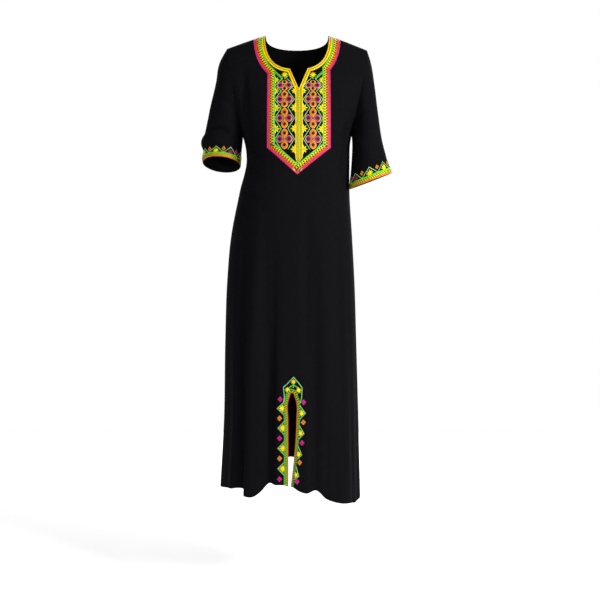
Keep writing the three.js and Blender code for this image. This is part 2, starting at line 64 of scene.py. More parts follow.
# Reach of the cloth at each drop below the shoulder line, right and left being the wearer's
sections = {
    "drop": (0, 60, 120, 180, 245, 272, 310, 400, 520, 640, 800, 1000, 1175),
    "right": (146, 146, 146, 146, 146, 139, 135, 154, 177, 187, 191, 193, 202),
    "left": (146, 146, 146, 146, 146, 142, 141, 141, 148, 154, 158, 163, 167),
    "front": (50, 64, 92, 111, 121, 122.4, 122.8, 120.5, 121, 126, 133, 142, 150),
    "back": (52, 68, 90, 98, 96, 94.5, 93.5, 98, 117, 127, 133, 141, 148),
}

# Height of the hem by turn round the body: 0 is the front, 90 the wearer's left
hemLine = {
    "turn": (-180, -130, -90, -70, -53, -43, -39, -33, -26, -21, -17, -9, 0, 5, 10, 16, 20, 27, 35,
             53, 76, 90, 135, 180),
    "drop": (1135, 1160, 1187, 1183, 1178, 1177, 1187, 1191, 1190, 1177, 1160, 1159, 1162, 1175,
             1180, 1177, 1176, 1196, 1207, 1215, 1222, 1217, 1168, 1135),
}

# Hanging folds: turn at the hem, lean from there, depth in or out, width in degrees, drop where each begins
folds = table(
    ("turn", "lean", "out", "width", "start"),
    (-42, -4, -17, 4.5, 480),
    (-32, -4, 10, 7.5, 480),
    (-15.5, -6, -15, 5, 340),
    (19, 0, -12, 5, 440),
    (28, 1, -5, 4, 850),
    (46, 0, 9, 11, 560),
    (-66, 0, -6, 8, 600),
    (76, 0, -5, 7, 700),
    (112, 3, -11, 7, 520),
    (128, 3, 8, 8, 520),
    (150, 5, -15, 6, 460),
    (178, 0, -10, 7, 620),
    (196, 0, 7, 8, 600),
    (212, -5, -15, 6, 460),
    (244, -3, -11, 7, 520),
    # shallow ripples between the main folds
    (-84, 3, 3.5, 5, 420),
    (-55, -2, 3, 4, 520),
    (-7, -3, 2.5, 3.5, 380),
    (10, 2, 3, 3.5, 420),
    (36, 2, -2.5, 3, 600),
    (61, -3, -3, 4.5, 460),
    (88, -2, 3, 5, 480),
    (100, 2, 3.5, 5, 560),
    (139, 3, -3, 4, 560),
    (165, 3, 3.5, 5, 500),
    (187, -2, -3, 4, 540),
    (224, -3, 3.5, 5, 500),
    (257, -2, 3, 5, 600),
)

# The slit: where its lips part, and how far its middle moves to the wearer's left
slit = {"top": 934, "open": 955, "lipSpread": 15, "easeFrom": 874, "easeOver": 60}
slitGap = {
    "drop": (934, 943, 955, 1005, 1084, 1136, 1175),
    "half": (0, 6, 9.4, 9.8, 7.6, 5, 2.9),
    "shift": (3, 3.1, 3.2, 3.6, 2.5, 0.8, -0.9),
}

# Each sleeve ends in an oval cuff, and swells or sinks along its outer side
sleeves = {
    "sleeve_left": {
        "side": 1, "cuffCentre": (195.5, -42, -373), "toOuter": (55.5, 0, 21.5), "toFront": (0, -55, -4),
        "underarmEase": 4.5, "creaseDepth": 1.5, "creaseAt": 0.9,
        "along": (0, 0.09, 0.28, 0.5, 0.8, 0.92, 1), "swell": (0, 3.5, 1.5, -4, -7.5, -3, 0),
    },
    "sleeve_right": {
        "side": -1, "cuffCentre": (-204, 6, -322), "toOuter": (-50, 0, 5.5), "toFront": (4, -52, 14),
        "underarmEase": 0, "creaseDepth": 7, "creaseAt": 0.9,
        "along": (0, 0.12, 0.3, 0.52, 0.72, 0.83, 0.91, 1), "swell": (0, 12, 10.5, 12, 12, 17, 11, 0),
    },
}
sleeveShape = {"outerPower": 1.5, "creaseSpread": 0.045, "creaseRound": 1.4}

# Soft creases pressed into the cloth: ends as seen straight on, sideways bow, depth and half width
creases = table(
    ("face", "ends", "bow", "depth", "width"),
    ("front", ((107, -186), (114, -238)), 3, -2.6, 6),
    ("front", ((136, -150), (110, -400)), 7, -8.5, 12),
    ("front", ((136, -250), (92, -345)), -8, -2.8, 9),
    ("front", ((133, -300), (104, -402)), 6, 2.0, 8),
    ("front", ((-140, -84), (-113, -310)), -8, -9.5, 12),
    ("front", ((-132, -252), (-90, -352)), 8, -3.2, 9),
    ("front", ((-130, -292), (-98, -430)), -7, 2.2, 8),
    ("front", ((-146, -395), (-84, -455)), 6, -2.0, 10),
    ("front", ((134, -420), (88, -500)), -8, -1.8, 10),
    ("front", ((-138, -450), (-150, -1100)), 4, -6.0, 12),
    ("front", ((-62, -520), (-76, -1090)), 6, -6.0, 14),
    ("front", ((29, -440), (35, -1060)), -5, -8.0, 14),
    ("front", ((104, -400), (112, -1080)), 5, -7.0, 13),
    ("front", ((-96, -430), (-112, -980)), -5, 4.0, 15),
    ("front", ((66, -500), (74, -1000)), 4, 5.0, 16),
    ("back", ((122, -90), (132, -236)), 7, -3.2, 8),
    ("back", ((-122, -90), (-132, -236)), -7, -3.2, 8),
    ("back", ((96, -60), (104, -210)), -6, -2.0, 10),
    ("back", ((-92, -70), (-104, -222)), 6, -2.2, 9),
    ("back", ((132, -262), (70, -340)), 8, -2.8, 9),
    ("back", ((-130, -266), (-64, -350)), -9, -2.6, 9),
    ("back", ((118, -330), (40, -392)), 7, 2.2, 10),
    ("back", ((-112, -336), (-30, -402)), -7, 2.0, 10),
    ("back", ((-8, -300), (4, -640)), 5, -4.0, 13),
    ("back", ((60, -420), (78, -1020)), -8, -6.5, 14),
    ("back", ((-70, -430), (-96, -1060)), 8, -6.0, 13),
    ("back", ((122, -500), (132, -1080)), 5, -5.0, 12),
    ("back", ((-18, -640), (-30, -1100)), -5, 4.0, 15),
)

# The same in the sleeves: ends as degrees round from the top, front positive, and share of the length
sleeveCreases = table(
    ("sleeve", "ends", "depth", "width"),
    ("sleeve_left", ((128, 0.04), (66, 0.42)), -3.2, 9),
    ("sleeve_left", ((150, 0.1), (104, 0.62)), 2.6, 9),
    ("sleeve_left", ((96, 0.5), (58, 0.86)), -1.8, 10),
    ("sleeve_left", ((-132, 0.05), (-58, 0.46)), -3.4, 9),
    ("sleeve_left", ((-150, 0.2), (-88, 0.7)), 2.4, 9),
    ("sleeve_left", ((-40, 0.55), (-8, 0.84)), -2.0, 10),
    ("sleeve_left", ((22, 0.03), (36, 0.24)), -1.6, 8),
    ("sleeve_right", ((126, 0.05), (60, 0.4)), -3.6, 9),
    ("sleeve_right", ((146, 0.16), (92, 0.66)), 2.8, 9),
    ("sleeve_right", ((122, 0.6), (2, 0.76)), -9.0, 9),
    ("sleeve_right", ((84, 0.62), (8, 0.66)), 1.8, 9),
    ("sleeve_right", ((-132, 0.05), (-62, 0.44)), -3.4, 9),
    ("sleeve_right", ((-100, 0.76), (-22, 0.84)), -3.2, 8),
    ("sleeve_right", ((20, 0.04), (30, 0.26)), -1.8, 8),
)


# Surfaces
def ease(t):
    t = np.clip(t, 0, 1)
    return t * t * (3 - 2 * t)


def smoothTable(keys, values, x):
    # a smooth curve through a table's rows, level past its ends
    keys = np.asarray(keys, float)
    values = np.asarray(values, float)
    x = np.clip(x, keys[0], keys[-1])
    i = np.clip(np.searchsorted(keys, x, side="left") - 1, 0, len(keys) - 2)
    spans = np.diff(keys)
    steep = np.diff(values) / spans
    slopes = np.empty(len(keys))
    slopes[0] = steep[0]
    slopes[-1] = steep[-1]
    slopes[1:-1] = (steep[:-1] * spans[1:] + steep[1:] * spans[:-1]) / (spans[:-1] + spans[1:])
    rise = values[i + 1] - values[i]
    t = (x - keys[i]) / spans[i]
    bend = (slopes[i] * spans[i] - rise) * (1 - t) + (rise - slopes[i + 1] * spans[i]) * t
    return values[i] + rise * t + bend * t * (1 - t)


def shoulderHeight(x):
    past = np.abs(x) - shoulder["neckHalf"]
    toLeft = ease(x / shoulder["neckHalf"])
    slope = shoulder["slopeRight"] + (shoulder["slopeLeft"] - shoulder["slopeRight"]) * toLeft
    return shoulder["top"] - slope * (past + np.hypot(past, shoulder["soften"])) / 2


def shoulderShare(drop):
    return 1 - ease(drop / armhole["drop"])


def armholeOut(drop):
    return shoulder["tipHalf"] - armhole["inward"] * (drop / armhole["drop"]) ** armhole["inwardPower"]


def armholeReach(face, drop):
    along = np.minimum(drop / armhole["drop"], 1)
    return armhole[face] * np.sqrt(np.maximum(1 - (1 - 2 * along) ** 2, 0))


def sectionAt(face, drop):
    right = smoothTable(sections["drop"], sections["right"], drop)
    left = smoothTable(sections["drop"], sections["left"], drop)
    turned = np.minimum(drop / shoulder["round"], 1)
    depth = smoothTable(sections["drop"], sections[face], drop) * np.sqrt(1 - (1 - turned) ** 2)
    above = drop < armhole["drop"]
    reach = np.minimum(armholeReach(face, drop) / np.maximum(depth, tiny), 1)
    edge = np.where(above, np.arccos(reach ** (squareness / 2)), math.pi / 2)
    upperHalf = armholeOut(np.minimum(drop, armhole["drop"])) / np.sin(edge) ** (2 / squareness)
    half = np.where(above, upperHalf, (left + right) / 2)
    centre = np.where(above, 0, (left - right) / 2)
    return centre, half, edge, depth


def foldAt(turn, drop):
    out = 0
    for fold in folds:
        grown = ease((drop - fold["start"]) / (hemDrop - fold["start"]))
        away = turn - fold["turn"] - fold["lean"] * (1 - grown)
        away = away - 360 * np.round(away / 360)
        out = out + fold["out"] * grown * np.exp(-((away / fold["width"]) ** 2))
    return out


def bodySurface(face, across, drop, lip=None):
    # across runs from -1 at the wearer's right edge to 1 at the left, lip is the side of the slit
    across, drop = np.broadcast_arrays(np.asarray(across, float), np.maximum(drop, justOff))
    lip = np.sign(across) if lip is None else lip
    centre, half, edge, depth = sectionAt(face, drop)
    angle = across * edge
    sine = np.sin(angle)
    reachX = np.sign(sine) * half * np.abs(sine) ** (2 / squareness)
    facing = -1 if face == "front" else 1
    reachY = facing * depth * np.maximum(np.cos(angle), 0) ** (2 / squareness)
    turn = np.degrees(angle) if face == "front" else 180 - np.degrees(angle)
    push = foldAt(turn, drop) / np.maximum(np.hypot(reachX, reachY), 1)
    x = centre + reachX * (1 + push)
    if face == "front":
        spread = np.maximum(0, 1 - np.abs(turn) / slit["lipSpread"])
        opened = lip * smoothTable(slitGap["drop"], slitGap["half"], drop) * (drop >= slit["top"])
        eased = ease((drop - slit["easeFrom"]) / slit["easeOver"])
        shifted = smoothTable(slitGap["drop"], slitGap["shift"], drop) * eased
        x = x + (shifted + opened) * spread
    wrapped = np.where(turn > 180, turn - 360, turn)
    swing = ease((drop - hemSwingFrom) / (hemDrop - hemSwingFrom))
    dip = (smoothTable(hemLine["turn"], hemLine["drop"], wrapped) - hemDrop) * swing
    z = shoulderHeight(x) * shoulderShare(drop) - drop - dip
    return np.stack([x, reachY * (1 + push), z], axis=-1)


# The search for the cloth that a straight look meets: rounds of the first guess, then Newton steps,
# with the nudges that measure the slope and the longest step taken
look = {"rounds": 12, "steps": 7, "nudgeAcross": 0.002, "nudgeDrop": 0.5, "besideSlit": 0.004,
        "leastArea": 1e-3, "longestAcross": 0.08, "longestDrop": 40}


def lookThrough(face, x, z):
    # the cloth that a straight look meets, before folds and slit move it
    drop = np.maximum(shoulderHeight(x) - z, 0)
    for _ in range(look["rounds"]):
        drop = np.maximum(shoulderHeight(x) * shoulderShare(drop) - z, 0)
    centre, half, edge, _ = sectionAt(face, np.maximum(drop, justOff))
    share = np.minimum(np.abs(x - centre) / half, 1)
    angle = np.arcsin(share ** (squareness / 2))
    return np.sign(x - centre) * angle / edge, drop


def findLook(face, x, z, lip):
    # the same on the folded cloth, by Newton steps; lip keeps the place on one side of the slit
    across, drop = lookThrough(face, x, z)
    if lip is not None:
        across = lip * np.maximum(np.abs(across), look["besideSlit"])
    for _ in range(look["steps"]):
        here = bodySurface(face, across, drop, lip)
        side = (bodySurface(face, across + look["nudgeAcross"], drop, lip) - here) / look["nudgeAcross"]
        down = (bodySurface(face, across, drop + look["nudgeDrop"], lip) - here) / look["nudgeDrop"]
        missX = x - here[..., 0]
        missZ = z - here[..., 2]
        area = side[..., 0] * down[..., 2] - down[..., 0] * side[..., 2]
        area = np.where(np.abs(area) < look["leastArea"], look["leastArea"], area)
        stepAcross = (missX * down[..., 2] - missZ * down[..., 0]) / area
        stepDrop = (side[..., 0] * missZ - side[..., 2] * missX) / area
        across = across + np.clip(stepAcross, -look["longestAcross"], look["longestAcross"])
        if lip is not None:
            across = lip * np.maximum(lip * across, justOff)
        drop = drop + np.clip(stepDrop, -look["longestDrop"], look["longestDrop"])
    return across, drop


def unit(vectors):
    return vectors / np.maximum(np.linalg.norm(vectors, axis=-1, keepdims=True), shortest)


def sleeveSurface(sleeve, degreesRound, along):
    degreesRound, along = np.broadcast_arrays(np.asarray(degreesRound, float), along)
    angle = np.radians(degreesRound)
    rounded = np.cos(angle)
    forward = np.sin(angle)
    drop = armhole["drop"] * (1 - rounded) / 2
    reach = np.where(forward >= 0, armhole["front"], armhole["back"])
    startX = sleeve["side"] * armholeOut(drop)
    startZ = shoulderHeight(startX) * shoulderShare(drop) - drop
    start = np.stack([startX, -reach * forward, startZ], axis=-1)
    cuff = (np.array(sleeve["cuffCentre"]) + rounded[..., None] * np.array(sleeve["toOuter"])
            + forward[..., None] * np.array(sleeve["toFront"]))
    point = start + (cuff - start) * along[..., None]
    outer = np.maximum(rounded, 0) ** sleeveShape["outerPower"]
    fromCrease = (along - sleeve["creaseAt"]) / sleeveShape["creaseSpread"]
    crease = np.exp(-(fromCrease ** 2)) * ease((rounded + 1) / sleeveShape["creaseRound"])
    swell = smoothTable(sleeve["along"], sleeve["swell"], along)
    out = (swell - sleeve["creaseDepth"] * crease) * outer
    eased = sleeve["underarmEase"] * np.maximum(-rounded, 0) * np.sin(math.pi * np.sqrt(along))
    moved = np.stack([sleeve["side"] * (out + eased), forward * sleeve["creaseDepth"] * crease,
                      np.zeros_like(out)], axis=-1)
    return point + moved


# A crease's places along its route, and how its depth comes and goes towards the ends
creaseShape = {"places": 9, "ends": 0.02, "fullness": 0.7}


def creaseRoute(crease):
    # the crease's places on the cloth, and how deep it is at each
    t = np.linspace(0, 1, creaseShape["places"])
    start, end = (np.array(place, float) for place in crease["ends"])
    places = start + (end - start) * t[:, None]
    if "sleeve" in crease:
        route = sleeveSurface(sleeves[crease["sleeve"]], places[:, 0], places[:, 1])
    else:
        along = end - start
        sideways = np.array([-along[1], along[0]]) / np.hypot(*along)
        places = places + sideways * (crease["bow"] * np.sin(math.pi * t))[:, None]
        across, drop = lookThrough(crease["face"], places[:, 0], places[:, 1])
        route = bodySurface(crease["face"], across, drop)
    inside = np.clip(t, creaseShape["ends"], 1 - creaseShape["ends"])
    return route, crease["depth"] * np.sin(math.pi * inside) ** creaseShape["fullness"]


creaseRoutes = {"front": [], "back": [], "sleeve_left": [], "sleeve_right": []}
for crease in creases:
    creaseRoutes[crease["face"]].append((creaseRoute(crease), crease["width"]))
for crease in sleeveCreases:
    creaseRoutes[crease["sleeve"]].append((creaseRoute(crease), crease["width"]))


def creaseOffset(cloth, points):
    # how far the creases move each point out of the smooth surface
    offset = np.zeros(points.shape[:-1])
    for (route, depths), width in creaseRoutes[cloth]:
        best = np.full(offset.shape, np.inf)
        depthThere = np.zeros(offset.shape)
        for k in range(len(route) - 1):
            step = route[k + 1] - route[k]
            t = np.clip(((points - route[k]) @ step) / (step @ step), 0, 1)
            away = np.linalg.norm(points - route[k] - t[..., None] * step, axis=-1)
            nearer = away < best
            best = np.where(nearer, away, best)
            depthThere = np.where(nearer, depths[k] + (depths[k + 1] - depths[k]) * t, depthThere)
        offset = offset + depthThere * np.exp(-((best / width) ** 2))
    return offset


# Steps over which the charts measure the slope of the cloth
chartStep = {"across": 0.004, "drop": 0.4, "degrees": 0.5, "along": 0.002, "cuffEnd": 0.1}
leastDrop = 0.02  # keeps a chart's places off the shoulder line itself


def bodyChart(face, lip=None, folded=False):
    # maps places seen straight on to points on the creased cloth and their outward directions
    def chart(x, z):
        if folded:
            across, drop = findLook(face, x, z, lip)
        else:
            across, drop = lookThrough(face, x, z)
        drop = np.maximum(drop, leastDrop)
        here = bodySurface(face, across, drop, lip)
        side = (bodySurface(face, across + chartStep["across"], drop, lip)
                - bodySurface(face, across - chartStep["across"], drop, lip))
        down = (bodySurface(face, across, drop + chartStep["drop"], lip)
                - bodySurface(face, across, drop - chartStep["drop"], lip))
        outward = unit(np.cross(side, down)) * (1 if face == "back" else -1)
        return here + outward * creaseOffset(face, here)[..., None], outward
    return chart


def sleeveChart(name):
    # maps degrees round and millimetres up from the cuff's edge
    sleeve = sleeves[name]

    def chart(degreesRound, up):
        last = (sleeveSurface(sleeve, degreesRound, 1.0)
                - sleeveSurface(sleeve, degreesRound, 1 - chartStep["cuffEnd"]))
        along = 1 - up / (np.linalg.norm(last, axis=-1) / chartStep["cuffEnd"])
        here = sleeveSurface(sleeve, degreesRound, along)
        side = (sleeveSurface(sleeve, degreesRound + chartStep["degrees"], along)
                - sleeveSurface(sleeve, degreesRound - chartStep["degrees"], along))
        down = (sleeveSurface(sleeve, degreesRound, along + chartStep["along"])
                - sleeveSurface(sleeve, degreesRound, along - chartStep["along"]))
        outward = unit(np.cross(side, down)) * sleeve["side"]
        return here + outward * creaseOffset(name, here)[..., None], outward
    return chart


# Materials
def linearColour(hexValue):
    channels = [int(hexValue[i:i + 2], 16) / 255 for i in (1, 3, 5)]
    return tuple(c / 12.92 if c <= 0.04045 else ((c + 0.055) / 1.055) ** 2.4 for c in channels) + (1.0,)


def addNode(tree, kind, settings=None, inputs=None):
    node = tree.nodes.new(kind)
    for key, value in (settings or {}).items():
        setattr(node, key, value)
    for key, value in (inputs or {}).items():
        if isinstance(value, bpy.types.NodeSocket):
            tree.links.new(value, node.inputs[key])
        else:
            node.inputs[key].default_value = value
    return node


def newMaterial(name, finish):
    material = bpy.data.materials.new(name)
    material.use_nodes = True
    tree = material.node_tree
    shader = tree.nodes["Principled BSDF"]
    for key, value in finish.items():
        shader.inputs[key].default_value = value
    return material, tree, shader


crepe = {
    "black": "#0B0A0C", "faded": "#100F12",
    "roughness": 0.9, "ior": 1.46, "specular": 0.03,
    "grainMm": 1.1,     # crepe yarn is 0.3 mm across, drawn coarser so that it shows
    "grainDetail": 3.0, "grainRoughness": 0.6, "grainStrength": 0.35, "grainDepthMm": 0.12,
    "slubMm": 7.0,      # the looser patches of a crepe weave
    "slubDetail": 2.0,
}


def makeCrepe(name, settings):
    # polyester crepe woven from hard-twisted yarn: a dull black with a dry pebbled grain
    material, tree, shader = newMaterial(name, {
        "Roughness": settings["roughness"], "IOR": settings["ior"],
        "Specular IOR Level": settings["specular"],
    })
    place = addNode(tree, "ShaderNodeTexCoord").outputs["Object"]
    grain = addNode(tree, "ShaderNodeTexNoise", {}, {
        "Vector": place, "Scale": 1 / (settings["grainMm"] * mm),
        "Detail": settings["grainDetail"], "Roughness": settings["grainRoughness"],
    })
    slub = addNode(tree, "ShaderNodeTexNoise", {}, {
        "Vector": place, "Scale": 1 / (settings["slubMm"] * mm), "Detail": settings["slubDetail"],
    })
    tone = addNode(tree, "ShaderNodeMix", {"data_type": "RGBA"}, {"Factor": slub.outputs["Fac"]})
    # a mix node's colours are its inputs 6 and 7 and its output 2
    tone.inputs[6].default_value = linearColour(settings["black"])
    tone.inputs[7].default_value = linearColour(settings["faded"])
    tree.links.new(tone.outputs[2], shader.inputs["Base Color"])
    pebble = addNode(tree, "ShaderNodeBump", {}, {
        "Height": grain.outputs["Fac"], "Strength": settings["grainStrength"],
        "Distance": settings["grainDepthMm"] * mm,
    })
    tree.links.new(pebble.outputs["Normal"], shader.inputs["Normal"])
    return material


threadColours = {
    "hotPink": "#C81F72", "coral": "#CC3C34", "orange": "#D2620A", "yellow": "#E2D200",
    "amber": "#D89A08", "lime": "#A4D216", "green": "#5CC02E", "paleGreen": "#8ED284",
    "petalPink": "#962048", "petalOrange": "#CC700C", "creamPink": "#D08880", "paleOrange": "#DC9A30",
    "darkRed": "#200504", "plum": "#240312", "magenta": "#B8187A", "diamondOrange": "#D47A1C",
    "black": "#070608", "darkGreen": "#122A0C", "brick": "#A83C14",
}
rayon = {
    "roughness": 0.45, "ior": 1.48, "specular": 0.22,
    "threadMm": 0.9, "waver": 0.8, "waverDetail": 1.0, "waverScale": 2.0,
    "ribStrength": 0.55, "ribDepthMm": 0.14,
    "lotScale": 260.0, "lotDetail": 2.0, "lotNoise": (0.3, 0.7), "lotBrightness": (0.8, 1.08),
}


def makeThread(name, hexValue, settings):
    # rayon embroidery thread laid in satin stitch: bright and silky, with a fine rib from thread to thread
    material, tree, shader = newMaterial(name, {
        "Roughness": settings["roughness"], "IOR": settings["ior"],
        "Specular IOR Level": settings["specular"],
    })
    along = addNode(tree, "ShaderNodeUVMap", {"uv_map": "stitches"}).outputs["UV"]
    ribs = addNode(tree, "ShaderNodeTexWave", {"wave_type": "BANDS", "bands_direction": "Y"}, {
        "Vector": along, "Scale": 1 / settings["threadMm"], "Distortion": settings["waver"],
        "Detail": settings["waverDetail"], "Detail Scale": settings["waverScale"],
    })
    place = addNode(tree, "ShaderNodeTexCoord").outputs["Object"]
    lots = addNode(tree, "ShaderNodeTexNoise", {}, {
        "Vector": place, "Scale": settings["lotScale"], "Detail": settings["lotDetail"],
    })
    shade = addNode(tree, "ShaderNodeMapRange", {}, {
        "Value": lots.outputs["Fac"],
        "From Min": settings["lotNoise"][0], "From Max": settings["lotNoise"][1],
        "To Min": settings["lotBrightness"][0], "To Max": settings["lotBrightness"][1],
    })
    tone = addNode(tree, "ShaderNodeHueSaturation", {}, {
        "Color": linearColour(hexValue), "Value": shade.outputs["Result"],
    })
    tree.links.new(tone.outputs["Color"], shader.inputs["Base Color"])
    rib = addNode(tree, "ShaderNodeBump", {}, {
        "Height": ribs.outputs["Fac"], "Strength": settings["ribStrength"],
        "Distance": settings["ribDepthMm"] * mm,
    })
    tree.links.new(rib.outputs["Normal"], shader.inputs["Normal"])
    return material


crepeMaterial = makeCrepe("black crepe", crepe)
threadMaterials = {}
for key, colour in threadColours.items():
    threadMaterials[key] = makeThread(f"rayon thread {key}", colour, rayon)
print("materials made")


# Meshes
sharpFrom = 55  # degrees between faces that meet in a sharp edge
seamGrid = 20  # points of two sheets that share a cell of 1/20 mm are one place
rim = {"inset": 0.06, "soften": 0.5}


def addObject(name, points, faces, materials, materialIndex=None, uvs=None):
    mesh = bpy.data.meshes.new(name)
    mesh.from_pydata((np.asarray(points) * mm).tolist(), [], faces)
    for material in materials:
        mesh.materials.append(material)
    mesh.polygons.foreach_set("use_smooth", [True] * len(mesh.polygons))
    if materialIndex is not None:
        mesh.polygons.foreach_set("material_index", materialIndex)
    if uvs is not None:
        layer = mesh.uv_layers.new(name="stitches")
        corners = np.empty(len(mesh.loops), dtype=np.int32)
        mesh.loops.foreach_get("vertex_index", corners)
        layer.data.foreach_set("uv", np.asarray(uvs, dtype=np.float32)[corners].ravel())
    mesh.set_sharp_from_angle(angle=math.radians(sharpFrom))
    piece = bpy.data.objects.new(name, mesh)
    bpy.context.scene.collection.objects.link(piece)
    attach(piece, "root")
    return piece


def gridQuads(index):
    # quads of a grid of point numbers
    corners = [index[:-1, :-1], index[1:, :-1], index[1:, 1:], index[:-1, 1:]]
    return np.stack(corners, axis=-1).reshape(-1, 4)


def quadNormals(points, quads):
    a, b, c, d = (points[quads[:, k]] for k in range(4))
    return np.cross(c - a, d - b)


def addUp(count, numbers, vectors):
    return np.stack([np.bincount(numbers, vectors[:, k], count) for k in range(3)], axis=-1)


def sharedNormals(sheets):
    # outward directions, the same on both sides of a seam
    places = np.concatenate([sheet["points"] for sheet in sheets])
    _, group = np.unique(np.round(places * seamGrid).astype(np.int64), axis=0, return_inverse=True)
    group = group.ravel()
    start = 0
    total = np.zeros((group.max() + 1, 3))
    for sheet in sheets:
        normals = quadNormals(sheet["points"], sheet["quads"])
        for k in range(4):
            total += addUp(len(total), group[start + sheet["quads"][:, k]], normals)
        start += len(sheet["points"])
    joined = unit(total)[group]
    parts = []
    start = 0
    for sheet in sheets:
        parts.append(joined[start:start + len(sheet["points"])])
        start += len(sheet["points"])
    return parts


def rimEdges(quads):
    ends = np.concatenate([np.stack([quads[:, k], quads[:, (k + 1) % 4]], axis=-1) for k in range(4)])
    ends = ends[ends[:, 0] != ends[:, 1]].astype(np.int64)
    big = int(quads.max()) + 1
    forward = ends[:, 0] * big + ends[:, 1]
    backward = ends[:, 1] * big + ends[:, 0]
    return ends[~np.isin(forward, backward)]


def closedCloth(points, quads, normals, inner, outer, rimInset=rim["inset"]):
    # a thin closed shell over a sheet, its rim drawn in a little and thinned so that seams show as fine lines
    edges = rimEdges(quads)
    direction = unit(points[edges[:, 1]] - points[edges[:, 0]])
    inward = np.zeros_like(points)
    for k in range(2):
        numbers = edges[:, k]
        inward += addUp(len(points), numbers, np.cross(normals[numbers], direction))
    placed = points + unit(inward) * rimInset * (np.linalg.norm(inward, axis=-1, keepdims=True) > tiny)
    onRim = np.zeros(len(points), bool)
    onRim[edges.ravel()] = True
    middle = (inner + outer) / 2
    top = np.where(onRim, middle + (outer - middle) * rim["soften"], outer)[:, None]
    bottom = np.where(onRim, middle + (inner - middle) * rim["soften"], inner)[:, None]
    both = np.concatenate([placed + normals * top, placed + normals * bottom])
    count = len(points)
    sides = np.stack([edges[:, 0], edges[:, 0] + count, edges[:, 1] + count, edges[:, 1]], axis=-1)
    return both, np.concatenate([quads, quads[:, ::-1] + count, sides]).tolist()


# The body's two panels
cloth = {"wall": 1.0, "ringSteps": 72, "yokeRows": 48, "skirtRows": 124, "tipRows": 5, "slitRows": 44,
         "shoulder": 26, "neckCurve": 22, "neckFlat": 14, "notch": 14, "backNeck": 40, "sleeveRows": 83,
         "neckCurveEnd": 0.52, "crowding": 1.6, "crowdingReach": 9, "crowdingSteps": 720, "deepFold": 12}


def neckPlace(face, share):
    angle = np.asarray(share) * math.pi / 2
    shape = neck[face]
    x = neck["half"] * np.maximum(np.cos(angle), 0) ** (2 / shape["power"])
    return x, neck["top"] - shape["depth"] * np.sin(angle) ** (2 / shape["power"])


def notchCorner(side):
    # where the notch leaves the neck curve, as a share of the curve
    x = notch["half"] + side * notch["centre"]
    return math.acos((x / neck["half"]) ** (neck["front"]["power"] / 2)) * 2 / math.pi


def necklineHalf(face, side):
    # one half of a neckline from the shoulder inwards, as places seen straight on
    if face == "back":
        x, z = neckPlace("back", np.linspace(0, 1, cloth["backNeck"] + 1))
        return np.stack([side * x, z], axis=-1)
    corner = notchCorner(side)
    steep = np.linspace(0, cloth["neckCurveEnd"], cloth["neckCurve"] + 1)
    level = np.linspace(cloth["neckCurveEnd"], corner, cloth["neckFlat"] + 1)[1:]
    x, z = neckPlace("front", np.concatenate([steep, level]))
    t = np.linspace(0, 1, cloth["notch"] + 1)[1:]
    x = np.concatenate([x, x[-1] + (side * notch["centre"] - x[-1]) * t])
    z = np.concatenate([z, z[-1] + (notch["bottom"] - z[-1]) * t])
    return np.stack([side * x, z], axis=-1)


def topEdge(face):
    halves = []
    for side in (-1, 1):
        x = side * np.linspace(shoulder["tipHalf"], shoulder["neckHalf"], cloth["shoulder"] + 1)[:-1]
        seam = np.stack([x, shoulderHeight(x)], axis=-1)
        halves.append(np.concatenate([seam, necklineHalf(face, side)]))
    places = np.concatenate([halves[0], halves[1][::-1][1:]])
    return lookThrough(face, places[:, 0], places[:, 1])


def crowdedTurns(start, end, steps):
    # turns that lie closer together where the folds are
    turns = np.linspace(start, end, cloth["crowdingSteps"] + 1)
    weight = np.ones_like(turns)
    for fold in folds:
        away = turns - fold["turn"] - 360 * np.round((turns - fold["turn"]) / 360)
        near = np.exp(-((away / cloth["crowdingReach"]) ** 2))
        weight += cloth["crowding"] * near * min(abs(fold["out"]) / cloth["deepFold"], 1)
    gathered = np.concatenate([[0], np.cumsum((weight[1:] + weight[:-1]) / 2)])
    return np.interp(np.linspace(0, gathered[-1], steps + 1), gathered, turns)


ringAngles = math.pi * np.arange(cloth["ringSteps"] + 1) / cloth["ringSteps"]
ringDrops = armhole["drop"] * (1 - np.cos(ringAngles)) / 2


